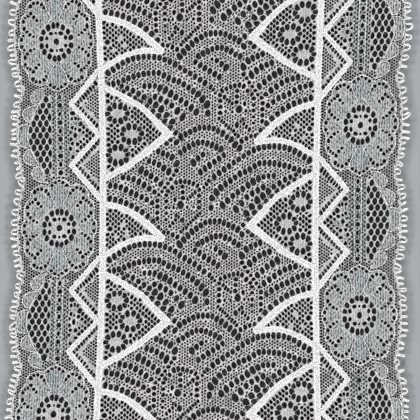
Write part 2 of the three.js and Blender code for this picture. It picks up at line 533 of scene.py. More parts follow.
@dataclass(frozen=True)
class Lozenge(Motif):
    """The eyelet lozenge between two fans, round one large eyelet."""

    rows: tuple[EyeletRow, ...] = (
        # Upper side, a double line of small slanted eyelets, and the arch that springs from it
        EyeletRow(((33.6, -54.5, 0.72), (43, -41, 0.6), (51.5, -30.3, 0.58)),
                  pitch=3.1, wide=5.2, tall=5.8, lean=0.2),
        EyeletRow(((42.2, -34, 0.8), (37.9, -37.6, 0.8), (33.5, -42.9, 0.8), (29, -43.7, 0.85),
                   (19.5, -42, 0.8), (12, -38.8, 0.7)), pitch=4.4),
        # Upright sides
        EyeletRow(((53, -24.9, 0.75), (53, -6.9, 0.75)),
                  pitch=6.0, course_share=1.0, wide=5.0, tall=5.2, lean=0.0),
        EyeletRow(((44, -30.1, 0.7), (44, -18, 0.65), (44, -5.6, 0.52)),
                  pitch=6.1, course_share=1.0, wide=5.0, tall=5.2, lean=0.0),
        EyeletRow(((10.5, -34.6, 0.7), (10.5, -16.8, 0.8)),
                  pitch=5.9, course_share=1.0, wide=5.0, tall=5.2, lean=0.0),
        # Spoke above the large eyelet, and what hangs below it
        EyeletRow(((27.5, -38.2, 0.78), (27, -26.7, 0.78)),
                  pitch=5.7, course_share=1.0, wide=5.2, tall=5.0, lean=0.0),
        EyeletRow(((35, -25.2, 0.72),), lean=0.0),
        EyeletRow(((33.5, -9.5, 0.7), (27.5, -4.5, 0.95)), pitch=6.0, lean=0.0),
        # Dotted lines to the four sides
        EyeletRow(((9.5, -11, 0.55), (28.5, 7, 0.65)), pitch=2.5, lean=0.3),
        EyeletRow(((31.5, -8, 0.55), (40, 1, 0.6)), pitch=2.9, lean=0.3),
        EyeletRow(((14.7, -32.2, 0.7), (22.3, -25.5, 0.5)), pitch=2.7, lean=0.3),
        EyeletRow(((16.1, -17.7, 0.5), (22.5, -17.4, 0.5)), pitch=6.4, lean=0.0),
        EyeletRow(((36.5, -17.7, 0.5), (40.5, -17.7, 0.5)), pitch=4.0, lean=0.0),
    )
    centre: Pair = (29.5, -19.8)
    centre_wide: float = 7.0
    centre_tall: float = 8.6

    def eyelets(self) -> Array:
        """The large eyelet first, then the rows about it."""
        large = [[*self.centre, self.centre_wide / 2.0, self.centre_tall / 2.0, 0.0]]
        return np.vstack([large, *(row.eyelets() for row in self.rows)])


@dataclass(frozen=True)
class SpottedNet(Motif):
    """An open net between bars, with solid spots on it.

    Attributes:
        net: Kind of the open net.
        corners: Its outline.
        spots: Centres of the spots.
        spot_half: Half the width and half the height of a spot.
    """

    net: Ground
    corners: Table
    spots: Table
    spot_half: Pair

    def grounds(self) -> Fills:
        """The open net, and the solid spots on it."""
        spots = [(Ground.PLAIN, ring(*spot, *self.spot_half)) for spot in self.spots]
        return [(self.net, np.array(self.corners)), *spots]


@dataclass(frozen=True)
class PointedLeaf(SpottedNet):
    """The inside of the pointed leaf: solid spots in wreaths of eyelets, on an open net."""

    net: Ground = Ground.LEAF
    corners: Table = (
        (106, 48), (90, 57), (70, 68.5), (54, 82.5), (42, 96), (60, 111), (80, 124.5), (106, 141)
    )
    spots: Table = ((92.9, 74.4), (78.8, 95.5), (92.9, 116.1))
    spot_half: Pair = (6.8, 5.0)
    wreath_half: Pair = (9.8, 7.9)
    wreath_count: int = 10
    wreath_eyelet: Pair = (2.4, 3.6)

    def eyelets(self) -> Array:
        """The eyelets of the wreaths."""
        wreaths = np.vstack([ring(*spot, *self.wreath_half, self.wreath_count) for spot in self.spots])
        return np.column_stack([wreaths, np.tile((*self.wreath_eyelet, 0.0), (len(wreaths), 1))])


@dataclass(frozen=True)
class Claw(SpottedNet):
    """The inside of the claw: three small solid spots on an open net, and one large eyelet."""

    net: Ground = Ground.CLAW
    corners: Table = (
        (106, -23), (90, -19), (70, -8), (48, 13), (68, 12.5), (86, 17.5), (106, 29)
    )
    spots: Table = ((88, -1.3), (95, 10.5), (84, 7.8))
    spot_half: Pair = (2.8, 2.8)
    large_eyelet: tuple[float, float, float, float, float] = (101, 1.9, 2.4, 2.7, 0.0)
    # Slits where the two bars close up, as out, along, half width, half height and lean
    slits: Table = (
        (63.7, 6.1, 1.1, 1.3, 0.0), (61.3, 8.1, 1.3, 0.9, 0.0), (58.6, 9, 1.2, 0.6, 0.0)
    )

    def eyelets(self) -> Array:
        """The one large eyelet beside the cord, and the slits at the other end."""
        return np.array([self.large_eyelet, *self.slits])


@dataclass(frozen=True)
class ZigzagTeeth(Motif):
    """The two teeth of the zigzag bar, and the notch between them."""

    slot_rows: tuple[EyeletRow, ...] = (
        EyeletRow(((111.8, 40.3, 1), (122.5, 52.5, 1), (134.4, 64.2, 0.8)),
                  pitch=2.64, wide=2.2, tall=5.4, lean=0.4),
        EyeletRow(((132.7, 65, 0.8), (111.4, 89.1, 1)), pitch=2.8, wide=2.2, tall=4.5, lean=0.4),
        EyeletRow(((112.3, 101.3, 1), (134.7, 125.3, 0.8)), pitch=2.75, wide=2.2, tall=5.4, lean=0.4),
        EyeletRow(((133.7, 126, 0.8), (111.4, 152.7, 1)), pitch=2.75, wide=2.2, tall=5.4, lean=0.4),
    )
    teeth: tuple[Table, ...] = (
        ((111, 35), (138, 65), (111, 95)),
        ((111, 95), (138, 125), (111, 157)),
    )
    # Fine net in the middle of each tooth
    nets: tuple[Table, ...] = (
        ((111, 46), (127, 63.5), (111, 81)),
        ((111, 108), (127, 125.3), (111, 144)),
    )
    notch: Table = ((141, 66), (138, 65), (112, 95), (138, 125), (141, 124))
    # Eyelets of the notch, as out, along, width and height
    notch_eyelets: Table = (
        (138, 72.7, 4.8, 4.1), (138.5, 78.2, 2.4, 3.8), (135, 77.7, 2.4, 3.8), (132, 78.7, 2.4, 3.1),
        (130, 84, 4.3, 5.5), (138.5, 87.2, 2.4, 3.8), (135.5, 88.7, 2.2, 2.9), (131, 89.7, 3.6, 3.4),
        (127, 87.2, 2.9, 3.6), (123.7, 90.4, 3.1, 3.6), (127.5, 92.5, 2.9, 2.4), (121, 93.2, 2.9, 3.6),
        (118, 95.7, 2.4, 2.9), (124, 95.7, 3.1, 3.6), (121, 98.7, 2.6, 3.1), (127, 99.2, 2.2, 2.6),
        (124, 101.7, 2.9, 3.4), (127, 104.7, 3.1, 3.1), (130, 107.2, 3.1, 3.4), (130, 101.7, 2.6, 2.6),
        (133.3, 103.7, 3.6, 3.4), (135.7, 95.2, 3.1, 5.8), (140, 98.7, 2.4, 3.6),
        (138.7, 103.2, 2.6, 3.8), (140.5, 108.2, 2.6, 4.3), (133.5, 111.2, 3.6, 2.4),
        (138.5, 116.7, 2.9, 3.6), (140, 91.7, 2.2, 3.1),
    )

    def eyelets(self) -> Array:
        """The slanted slots beside the bars, and the eyelets of the notch."""
        notch = [(out, along, wide / 2, tall / 2, 0.0) for out, along, wide, tall in self.notch_eyelets]
        return np.vstack([notch, *(row.eyelets() for row in self.slot_rows)])

    def grounds(self) -> Fills:
        """Fills the teeth and the notch.

        Returns:
            Closed cloth, with fine net in the middle of each tooth.
        """
        teeth = [(Ground.PLAIN, np.array(tooth)) for tooth in self.teeth]
        nets = [(Ground.TOOTH, np.array(net)) for net in self.nets]
        return [*teeth, *nets, (Ground.PETAL, np.array(self.notch))]


@dataclass(frozen=True)
class Flower(Motif):
    """The flower of the border. Its tables hold one quarter, as distances from its centre."""

    out: float = 152.0
    disc_eyelet: Pair = (2.6, 3.5)
    wreath_wide: float = 15.0
    wreath_tall: float = 16.7
    wreath_turns: tuple[float, ...] = (13.0, 36.0, 61.0, 82.0)
    wreath_eyelet: Pair = (2.2, 3.35)
    wreath_edge: Pair = (18.0, 20.5)
    # Eyelets of one quarter, as distance across, distance along, width and height
    disc_eyelets: Table = ((5, 8.5, 4.4, 3.7), (9.5, 3.9, 2.9, 4.4))
    petal_eyelets: Table = (
        (10.5, 35, 2.6, 3), (13.5, 38, 2.4, 3), (17.5, 40.1, 2.4, 2.5), (21.5, 39.5, 2.2, 2.6),
        (24.5, 37, 2.8, 3.8), (24, 29.5, 2.6, 3.4), (21.2, 25.4, 2.6, 3), (18.2, 22.4, 2, 2.2),
        (27, 27, 2.2, 2.2), (29.6, 25.2, 1.8, 2.2), (31.8, 22, 2.2, 3.2), (31.5, 14.6, 2.4, 4.2),
        (29.2, 11, 2.4, 2.4), (26, 8, 2.4, 2.4), (22.5, 6.3, 1.8, 2), (34.7, 3.5, 2.4, 3.6),
        (32.6, 7.2, 1.8, 1.8), (3.8, 46, 2.4, 2.2), (7.6, 43.2, 2.6, 2.4), (8.4, 32, 1.6, 2),
    )
    petal_swell: float = 1.2
    # Eyelets above and below the centre, as distance along, width and height
    upright_eyelets: Table = ((9.0, 1.8, 2.9), (47.8, 2.2, 2.2))
    contour: Table = (
        (37.8, 0), (37, 4.5), (34.2, 9.5), (34.6, 14), (35, 20), (33.2, 26), (29, 30.5), (28.6, 36),
        (25.2, 41), (18, 44.2), (11.2, 42.4), (7, 47), (0, 49.8)
    )
    # Upright petals, which hold the bluer jacquard, as distance along, half width and half height
    upright_petal: tuple[float, float, float] = (34.0, 8.5, 14.0)
    # Thread beside the upright petals, in one quarter
    petal_line: Table = ((7, 20), (3.5, 24), (8, 32), (10.5, 40))
    outline_share: float = 0.64
    line_share: float = 0.7

    def quarters(self, points: Array) -> list[Array]:
        """Mirrors rows that start with distances across and along into the four quarters.

        Args:
            points: Rows of one quarter, measured from the flower's centre.

        Returns:
            The rows of each quarter, on the chart, in order round the flower.
        """
        found = []
        for turn_across, turn_along in ((1, 1), (-1, 1), (-1, -1), (1, -1)):
            quarter = np.array(points, dtype=float)
            quarter[:, 0] = self.out + turn_across * quarter[:, 0]
            quarter[:, 1] *= turn_along
            found.append(quarter)
        return found

    def outline(self) -> Array:
        """The scalloped outline round all the petals."""
        first, second, third, fourth = self.quarters(np.array(self.contour))
        return np.vstack([first, second[-2::-1], third[1:], fourth[-2:0:-1]])

    def eyelets(self) -> Array:
        """Lists the eyelets of the disc, the wreath about it and the petals.

        Returns:
            Rows of out, along, half width, half height and lean.
        """
        turns = np.radians(self.wreath_turns)
        wreath = np.column_stack([self.wreath_wide * np.cos(turns), self.wreath_tall * np.sin(turns)])
        wreath = np.column_stack([wreath, np.tile(2.0 * np.array(self.wreath_eyelet), (len(turns), 1))])
        petals = np.array(self.petal_eyelets) * (1.0, 1.0, self.petal_swell, self.petal_swell)
        rows = np.vstack(self.quarters(np.vstack([wreath, self.disc_eyelets, petals])))
        single = [(self.out, 0.0, 2.0 * self.disc_eyelet[0], 2.0 * self.disc_eyelet[1])]
        for along, wide, tall in self.upright_eyelets:
            single.extend((self.out, place, wide, tall) for place in (along, -along))
        table = np.vstack([single, rows])
        return np.column_stack([table[:, :2], table[:, 2:] / 2.0, np.zeros(len(table))])

    def grounds(self) -> Fills:
        """Fills the flower.

        Returns:
            Jacquard in the petals, and closed cloth in the disc.
        """
        along, wide, tall = self.upright_petal
        upright = [(Ground.JACQUARD, ring(self.out, place, wide, tall)) for place in (-along, along)]
        disc = (Ground.PLAIN, ring(self.out, 0.0, *self.wreath_edge))
        return [(Ground.PETAL, self.outline()), *upright, disc]

    def threads(self) -> Paths:
        """Leads the flower's outline threads.

        Returns:
            The scalloped outline, and lines beside the upright petals.
        """
        outline = self.outline()
        lines = [(line, self.line_share) for line in self.quarters(np.array(self.petal_line))]
        return [(np.vstack([outline, outline[:1]]), self.outline_share), *lines]


@dataclass(frozen=True)
class NetLeaf(Motif):
    """The leaf of open net in the border, with lobes on its outer side and a ribbed strip on its inner."""

    along: float = 94.0
    inner_out: float = 160.0
    row_pitch: float = 6.05
    rows_each_way: int = 6
    column_pitch: float = 6.4
    even_row_out: float = 164.1
    odd_row_out: float = 161.0
    belly_out: float = 181.8
    belly_draw_in: float = 15.2
    belly_power: float = 1.6
    eyelet: Pair = (2.2, 3.6)
    # How far past the belly an eyelet's middle may lie, and how eyelets narrow towards the net's sides
    belly_overhang: float = 0.8
    narrowest: float = 0.62
    narrowing_reach: float = 8.0
    outer_margin: float = 1.2
    # How far closed strands and the outer thread run on past the net's last rows, and the thread's way out
    strand_margin: float = 2.5
    thread_margin: float = 1.5
    thread_out: float = 1.6
    belly_points: int = 25
    # Lobes on the outer side as outlines, of which the last two mirror the first two
    lobes: tuple[Table, ...] = (
        ((164, 46), (170, 47), (176, 50), (179, 54), (178.5, 59), (176, 62), (169, 61)),
        ((173, 63), (181, 65), (187, 69), (187, 75), (183, 80), (179, 79)),
        ((183, 82), (190, 84), (192.5, 90), (192.5, 98), (190, 104), (183, 106)),
    )
    strip_half: float = 42.0
    strip_inner_out: float = 141.0
    lines_out: tuple[float, ...] = (147.2, 154.0)
    lobe_pitch: float = 2.0
    lobe_share: float = 0.72
    line_share: float = 0.6
    column_out: float = 150.5
    column_eyelets: int = 10
    column_eyelet_pitch: float = 8.5
    column_sizes: Table = ((1.3, 2.6), (2.25, 2.4))

    def belly(self, along: Array) -> Array:
        """How far out the open net reaches, for distances along from the leaf's middle."""
        share = np.abs(along) / (self.rows_each_way * self.row_pitch)
        return self.belly_out - self.belly_draw_in * share ** self.belly_power

    def belly_path(self, margin: float, out: float = 0.0) -> Array:
        """Follows the net's outer side.

        Args:
            margin: How far past its last rows.
            out: How far outside it.

        Returns:
            Rows of out and along.
        """
        reach = self.rows_each_way * self.row_pitch + margin
        along = np.linspace(-reach, reach, self.belly_points)
        return np.column_stack([self.belly(along) + out, self.along + along])

    def mirrored(self, path: Array) -> Array:
        """Mirrors a path about the leaf's middle."""
        return np.column_stack([path[:, 0], 2.0 * self.along - path[:, 1]])[::-1]

    def all_lobes(self) -> list[Array]:
        """The smooth outlines of all five lobes."""
        drawn = [walk(np.array(lobe), self.lobe_pitch) for lobe in self.lobes]
        return [*drawn, *(self.mirrored(lobe) for lobe in drawn[:2])]

    def eyelets(self) -> Array:
        """Lists the eyelets of the open net, and the column of them in the ribbed strip.

        Returns:
            Rows of out, along, half width, half height and lean.
        """
        found = []
        for row in range(-self.rows_each_way, self.rows_each_way + 1):
            along = row * self.row_pitch
            out = self.even_row_out if row % 2 == 0 else self.odd_row_out
            limit = self.belly(np.array(along))
            while out < limit + self.belly_overhang:
                from_sides = min(out - self.inner_out, limit + self.outer_margin - out)
                narrow = min(1.0, self.narrowest + from_sides / self.narrowing_reach)
                found.append((out, self.along + along, self.eyelet[0] * narrow, self.eyelet[1], 0.0))
                out += self.column_pitch
        for place in range(self.column_eyelets):
            along = self.along + (place - (self.column_eyelets - 1) / 2.0) * self.column_eyelet_pitch
            found.append((self.column_out, along, *self.column_sizes[place % 2], 0.0))
        return np.array(found)

    def grounds(self) -> Fills:
        """Fills the leaf.

        Returns:
            Jacquard in the lobes, fine-pored jacquard in the strip, and closed strands in the net.
        """
        belly = self.belly_path(self.strand_margin)
        inner = np.column_stack([np.full(2, self.inner_out), belly[[-1, 0], 1]])
        top, foot = self.along - self.strip_half, self.along + self.strip_half
        strip = np.array([
            (self.strip_inner_out, top), (self.inner_out, top),
            (self.inner_out, foot), (self.strip_inner_out, foot),
        ])
        fills = [(Ground.PETAL, lobe) for lobe in self.all_lobes()]
        return [*fills, (Ground.STRIP, strip), (Ground.PLAIN, np.vstack([belly, inner]))]

    def threads(self) -> Paths:
        """Leads the leaf's outline threads.

        Returns:
            The lobes' outlines, the net's outer edge and the lines of the strip.
        """
        belly = self.belly_path(self.thread_margin, self.thread_out)
        ends = np.array([self.along - self.strip_half, self.along + self.strip_half])
        lines = [np.column_stack([np.full(2, out), ends]) for out in self.lines_out]
        edges = [(path, self.lobe_share) for path in (*self.all_lobes(), belly)]
        return [*edges, *((line, self.line_share) for line in lines)]


@dataclass(frozen=True)
class Bars:
    """The heavy bars: two straight cords, and a zigzag, a pointed leaf and a claw in each half repeat.

    Attributes:
        cord_width: Width of a straight cord, in squares.
        curve_width: Width of the leaf's and the claw's bars, in squares, where their swell is one.
        zigzag: Corners of the zigzag, each with the bar's swell there.
        curves: Centre lines of the leaf's and the claw's bars, with the bars' swell.
    """

    cord_width: float = 5.8
    curve_width: float = 6.2
    zigzag: Table = (
        (110, 29.1, 0.73), (139.2, 63.2, 0.73), (111.7, 94.9, 0.7), (139.8, 125.1, 0.79), (110, 160.6, 0.92)
    )
    curves: tuple[Table, ...] = (
        ((107, 46.6, 0.94), (89.5, 56.2, 0.92), (69.9, 68.3, 0.91), (54.6, 83.4, 1), (41.7, 97, 1.35)),
        ((42, 96.8, 1.35), (50.5, 103.3, 1.3), (60.1, 110.9, 1.08), (79.3, 125.2, 0.87), (107, 140, 0.93)),
        ((107, -22.8, 0.94), (90.1, -18.7, 0.96), (70.3, -7.5, 1.05), (48, 13.3, 1.25)),
        ((48, 13.3, 1.15), (68, 12.5, 0.87), (86, 17.5, 0.78), (107, 29, 0.8)),
    )

    def centre_lines(self, pitch: float) -> list[tuple[Array, Array]]:
        """Centre lines of one half repeat's bars, on the chart.

        Args:
            pitch: Distance between points, in squares.

        Returns:
            One path for each bar, with the bar's swell at each of its points.
        """
        lines = [walk(np.array(line), pitch) for line in (*zip(self.zigzag, self.zigzag[1:]), *self.curves)]
        return [(line[:, :2], line[:, 2]) for line in lines]


MOTIFS: tuple[Motif, ...] = (Lozenge(), Fans(), PointedLeaf(), Claw(), ZigzagTeeth(), Flower(), NetLeaf())


@dataclass
class Openings:
    """Every place of the chart where the knitting opens or closes, one row each.

    Attributes:
        place: Distance across and along, in squares.
        half: Half width and half height, in squares.
        lean: Turn of the opening, in radians.
        kind: What the knitting does there.
        jacquard: Share of jacquard yarn about it.
    """

    place: Array
    half: Array
    lean: Array
    kind: Array
    jacquard: Array

    # Yarns close over an opening from both sides, so its top is pointed and its foot nearly round
    TOP_POWER = 1.6
    FOOT_POWER = 1.9
    LEAST_HALF = 1e-3

    @classmethod
    def of(cls, place: Array, half: Array, kind: Opening, lean: float | Array = 0.0,
           jacquard: float = 0.0) -> "Openings":
        """Makes openings of one kind.

        Args:
            place: Distance across and along of each.
            half: Half width and half height, for all or for each.
            kind: What the knitting does there.
            lean: Turn of all, or of each.
            jacquard: Share of jacquard yarn about them.

        Returns:
            The openings.
        """
        count = len(place)
        return cls(
            place=place.astype(float),
            half=np.full((count, 2), half, dtype=float),
            lean=np.full(count, lean, dtype=float),
            kind=np.full(count, int(kind)),
            jacquard=np.full(count, jacquard),
        )

    @classmethod
    def joined(cls, parts: list["Openings"]) -> "Openings":
        """Joins several lists of openings into one."""
        return cls(*(np.concatenate([getattr(part, name) for part in parts]) for name in cls.__annotations__))

    def only(self, wanted: Array) -> "Openings":
        """Keeps the wanted openings."""
        return Openings(*(getattr(self, name)[wanted] for name in self.__annotations__))

    def reach(self, which: Array, direction: Array) -> Array:
        """Measures openings from their centres to their rims.

        Args:
            which: Number of each opening.
            direction: Direction from its centre, one row each.

        Returns:
            Distance to the rim in that direction.
        """
        turn = np.arctan2(direction[:, 1], direction[:, 0]) - self.lean[which]
        half = np.maximum(self.half[which], self.LEAST_HALF)
        power = np.where(np.sin(turn) < 0.0, self.TOP_POWER, self.FOOT_POWER)
        wide, tall = np.abs(np.cos(turn)) / half[:, 0], np.abs(np.sin(turn)) / half[:, 1]
        return (wide ** power + tall ** power) ** (-1.0 / power)


@dataclass
class KnittedGround:
    """The knitted cloth: every strand between the eyelets and pores, as one net in three lengths.

    Attributes:
        chart: Chart of the pattern.
        bars: Heavy bars, under which the net is closed.
        underside: Height of the strands' undersides, in metres.
        crown: Height of their tops.
        waist: Height where a strand is widest.
        strand: Narrowest strand between a pore and an eyelet, in squares.
        smallest_share: Share of its size to which a pore may be squeezed beside an eyelet.
        dimple: Depth of the dimples in closed cloth.
        unevenness: How much the strands' heights vary.
        wander: How far openings lie off their charted places, in squares.
        size_variation: Share by which their sizes vary.
        fine_half: Half width or height below which an opening counts as fine, in squares.
        fine_shade: Share of the painted shade on a fine opening's rim, next to a wide one's, as the strands
            beside it are thin.
        dimple_shade: Share of the painted shade in the dimples of jacquard cloth, next to an eyelet's rim.
        wale: Distance between the wales of closed cloth, in squares.
        seed: Seed of that variation.
    """

    chart: Chart
    bars: Bars
    underside: float = 0.05 * MM
    crown: float = 0.95 * MM
    waist: float = 0.5 * MM
    strand: float = 0.85
    smallest_share: float = 0.4
    dimple: float = 0.1 * MM
    unevenness: float = 0.05 * MM
    wander: float = 0.05
    size_variation: float = 0.05
    fine_half: float = 1.12
    fine_shade: float = 0.55
    dimple_shade: float = 0.6
    wale: float = 2.5
    seed: int = 7

    # All in squares, but for the shares: distances between places under bars, on their lines and off edges
    UNDER_BAR_PITCH = 3.0
    BAR_PITCH = 6.0
    EDGE_PITCH = 2.3
    # How far eyelets keep from bars and cut ends, pores from ends and edges, and from bars by their width
    EYELET_BAR_MARGIN = 0.4
    EYELET_END_MARGIN = 1.5
    PORE_MARGIN = 1.0
    PORE_BAR_SHARE = 0.5
    # Within which distance two eyelets may crowd, and how near counts as crowding, as a share of their sizes
    CROWD_REACH = 8.0
    CROWD_SHARE = 0.6
    # The largest and the least that a pore reaches from its centre, where it is squeezed
    PORE_REACH = 2.0
    LEAST_PORE_REACH = 0.3
    # Places off the cloth: how far off its edges and ends they lie, how far across they go, their half size
    OFF_EDGE = 1.4
    OFF_END = 1.0
    OFF_ACROSS = 200.0
    OFF_HALF = 0.6

    def eyelets(self) -> Openings:
        """Lays out the eyelets of every motif over the whole cut length.

        Returns:
            The eyelets, clear of the bars and of one another.
        """
        chart = self.chart
        rows = np.vstack([motif.eyelets() for motif in MOTIFS])
        rows = rows[self.clear_of_bars(rows[:, :2], self.EYELET_BAR_MARGIN)]
        every = Openings.joined([
            Openings.of(chart.placed(rows, side, start), rows[:, 2:4], Opening.EYELET, lean=side * rows[:, 4])
            for side in Side for start in chart.starts(side)
        ])
        every = every.only(chart.keep(every.place, self.EYELET_END_MARGIN))
        return every.only(self.first_of_crowd(every))

    def clear_of_bars(self, folded: Array, margin: float) -> Array:
        """Tells which places of the drawn half repeat are clear of the heavy bars.

        Args:
            folded: Rows of out and along.
            margin: Distance from a bar's edge that is still too near, in squares.

        Returns:
            One truth value for each place.
        """
        near = np.abs(np.abs(folded[:, 0]) - self.chart.cord_out) - self.bars.cord_width / 2.0
        for path, swell in self.bars.centre_lines(self.BAR_PITCH):
            half = swell.mean() * self.bars.curve_width / 2.0
            for shift in (-self.chart.repeat_squares, 0.0, self.chart.repeat_squares):
                near = np.minimum(near, distance_to(folded, path + (0.0, shift)) - half)
        return near > margin

    def first_of_crowd(self, openings: Openings) -> Array:
        """Tells which eyelets to keep where two are charted almost at one place.

        Args:
            openings: The eyelets, those that go first in front.

        Returns:
            One truth value for each eyelet.
        """
        keep = np.ones(len(openings.place), dtype=bool)
        order = np.argsort(openings.place[:, 1], kind="stable")
        along = openings.place[order, 1]
        for here, index in enumerate(order):
            last = np.searchsorted(along, along[here] + self.CROWD_REACH)
            others = order[here + 1:last]
            gap = openings.place[others] - openings.place[index]
            room = self.CROWD_SHARE * (openings.half[others] + openings.half[index])
            crowded = others[np.hypot(*(gap / room).T) < 1.0]
            for other in crowded:
                if keep[index] and keep[other]:
                    keep[max(index, other)] = False
        return keep

    def ground_of(self, folded: Array) -> Array:
        """Names the ground at places of the drawn half repeat.

        Args:
            folded: Rows of out and along.

        Returns:
            Place of each ground in the list of grounds.
        """
        kinds = list(Ground)
        found = np.where(
            folded[:, 0] < self.chart.cord_out, kinds.index(Ground.CENTRE), kinds.index(Ground.BORDER)
        )
        for motif in MOTIFS:
            for kind, outline in motif.grounds():
                for shift in (0.0, self.chart.repeat_squares):
                    found[inside(folded + (0.0, shift), outline)] = kinds.index(kind)
        return found

    def pores(self, eyelets: Openings) -> Openings:
        """Fills the cloth between the eyelets with the pores of its grounds.

        Args:
            eyelets: Eyelets that the pores keep clear of.

        Returns:
            The pores, and the closed places of plain cloth.
        """
        chart = self.chart
        reach = chart.notch_out + chart.scallop_rise
        laid = []
        for number, kind in enumerate(Ground):
            net = kind.value
            columns = np.arange(-math.ceil(reach / net.across), math.ceil(reach / net.across) + 1)
            first, last = math.floor(chart.cut_start / net.along), math.ceil(chart.cut_end / net.along)
            rows = np.arange(first, last + 1)
            column, row = (grid.ravel() for grid in np.meshgrid(columns, rows))
            even = (column + row) % 2 == 0
            place = np.column_stack([column[even] * net.across, row[even] * net.along])
            place = place[chart.keep(place, self.PORE_MARGIN)]
            folded = chart.fold(place)
            edge = chart.edge_out(folded[:, 1])
            good = (folded[:, 0] < edge - self.PORE_MARGIN) & (self.ground_of(folded) == number)
            good[good] = self.clear_of_bars(folded[good], net.wide * self.PORE_BAR_SHARE)
            opening = Opening.PORE if net.wide > 0.0 else Opening.CLOSED
            part = Openings.of(place[good], (net.wide, net.tall), opening, jacquard=net.jacquard)
            laid.append(self.squeezed(part, eyelets))
        return Openings.joined(laid)

    def squeezed(self, pores: Openings, eyelets: Openings) -> Openings:
        """Squeezes pores so that a strand is left between them and every eyelet.

        Args:
            pores: Pores of one ground.
            eyelets: The eyelets.

        Returns:
            The pores, without those that have no room.
        """
        share = np.ones(len(pores.place))
        order = np.argsort(pores.place[:, 1], kind="stable")
        along = pores.place[order, 1]
        for index, (place, half) in enumerate(zip(eyelets.place, eyelets.half)):
            reach = half.max() + self.strand + self.PORE_REACH
            near = order[np.searchsorted(along, place[1] - reach):np.searchsorted(along, place[1] + reach)]
            gap = pores.place[near] - place
            room = np.hypot(*gap.T) - eyelets.reach(np.full(len(near), index), gap) - self.strand
            wanted = np.maximum(pores.reach(near, gap), self.LEAST_PORE_REACH)
            share[near] = np.minimum(share[near], room / wanted)
        kept = share > self.smallest_share
        pores = pores.only(kept)
        pores.half *= share[kept][:, None]
        return pores

    def closed_places(self) -> Openings:
        """Lists the places where the knitting is closed or ends.

        Returns:
            Closed places under the bars, and places just off the cloth that shape its outline.
        """
        chart, pitch = self.chart, self.EDGE_PITCH
        lines = self.bars.centre_lines(self.UNDER_BAR_PITCH)
        paths = [
            chart.placed(path, side, start)
            for side in Side for start in chart.starts(side) for path, _ in lines
        ]
        run = np.arange(chart.cut_start, chart.cut_end, self.UNDER_BAR_PITCH)
        under = np.vstack([*paths, *(chart.along_cord(side, run) for side in Side)])
        under = under[chart.keep(under, self.PORE_MARGIN)]
        _, first = np.unique(np.round(under / (0.5 * self.UNDER_BAR_PITCH)), axis=0, return_index=True)
        run = np.arange(chart.cut_start - pitch, chart.cut_end + 2 * pitch, pitch)
        off = [chart.along_edge(side, run, self.OFF_EDGE) for side in Side]
        across = np.arange(-self.OFF_ACROSS, self.OFF_ACROSS, pitch)
        for along in (chart.cut_start - self.OFF_END, chart.cut_end + self.OFF_END):
            off.append(np.column_stack([across, np.full(len(across), along)]))
        return Openings.joined([
            Openings.of(under[np.sort(first)], (0.0, 0.0), Opening.CLOSED),
            Openings.of(np.vstack(off), (self.OFF_HALF, self.OFF_HALF), Opening.OUTSIDE),
        ])

    def build(self) -> dict[str, Object]:
        """Knits the net and cuts it into three lengths along the cords.

        Returns:
            The three pieces by name.
        """
        eyelets = self.eyelets()
        pores = self.pores(eyelets)
        knitted = Openings.joined([eyelets, pores])
        draws = np.random.default_rng(self.seed)
        knitted.place += draws.normal(0.0, self.wander, knitted.place.shape)
        knitted.half *= draws.normal(1.0, self.size_variation, knitted.half.shape)
        openings = Openings.joined([knitted, self.closed_places()])
        log.info("openings: %d eyelets, %d pores", len(eyelets.place), len(pores.place))
        cells = Cells.between(openings)
        across = openings.place[:, 0]
        cord = self.chart.cord_out
        lengths = {
            "border_net_left": across < -cord,
            "centre_net": (across >= -cord) & (across < cord),
            "border_net_right": across >= cord,
        }
        return {name: self.mesh(name, cells, wanted) for name, wanted in lengths.items()}

    def mesh(self, name: str, cells: "Cells", wanted: Array) -> Object:
        """Makes the strands of some cells into one closed mesh.

        Args:
            name: The piece's name.
            cells: Cells of the whole net.
            wanted: Which openings' cells belong to the piece.

        Returns:
            The piece.
        """
        openings = cells.openings
        entries = np.flatnonzero(wanted[cells.site])
        site = cells.site[entries]
        following = np.searchsorted(entries, cells.following[entries])
        used, ridge = np.unique(cells.ridge[entries], return_inverse=True)
        is_open = openings.kind[site] != Opening.CLOSED
        open_site = site[is_open]
        closed_site, closed_row = np.unique(site[~is_open], return_inverse=True)
        count, rims, middles = len(used), len(open_site), len(closed_site)

        # Points are in five blocks: tops and undersides of ridges, rims, tops and undersides of closed places
        drawn = np.vstack([
            cells.corner[used], cells.corner[used], cells.rim[entries][is_open],
            openings.place[closed_site], openings.place[closed_site],
        ])
        draws = np.random.default_rng(self.seed).normal(0.0, self.unevenness, len(cells.corner))[used]
        height = np.concatenate([
            self.crown + draws, np.full(count, self.underside), np.full(rims, self.waist),
            np.full(middles, self.crown - self.dimple), np.full(middles, self.underside),
        ])
        start, end = ridge, ridge[following]
        rim = 2 * count + np.cumsum(is_open) - 1
        middle = 2 * count + rims + closed_row
        blocks = [
            np.column_stack([start, end, rim[following], rim])[is_open],
            np.column_stack([rim, rim[following], end + count, start + count])[is_open],
        ]
        caps = [
            np.column_stack([start[~is_open], end[~is_open], middle]),
            np.column_stack([middle + middles, end[~is_open] + count, start[~is_open] + count]),
        ]
        alone = ~np.isin(start * count + end, end * count + start)
        start, end = start[alone], end[alone]
        blocks += [np.column_stack([end, start, start + count, end + count]), *caps]
        # The chart runs down the lace and Y runs up it, so every face is turned over
        faces = [row for block in blocks for row in block[:, ::-1].tolist()]
        mesh = bpy.data.meshes.new(name)
        mesh.from_pydata(np.column_stack([self.chart.lay(drawn), height]).tolist(), [], faces)
        mesh.polygons.foreach_set("use_smooth", np.ones(len(mesh.polygons), dtype=bool))

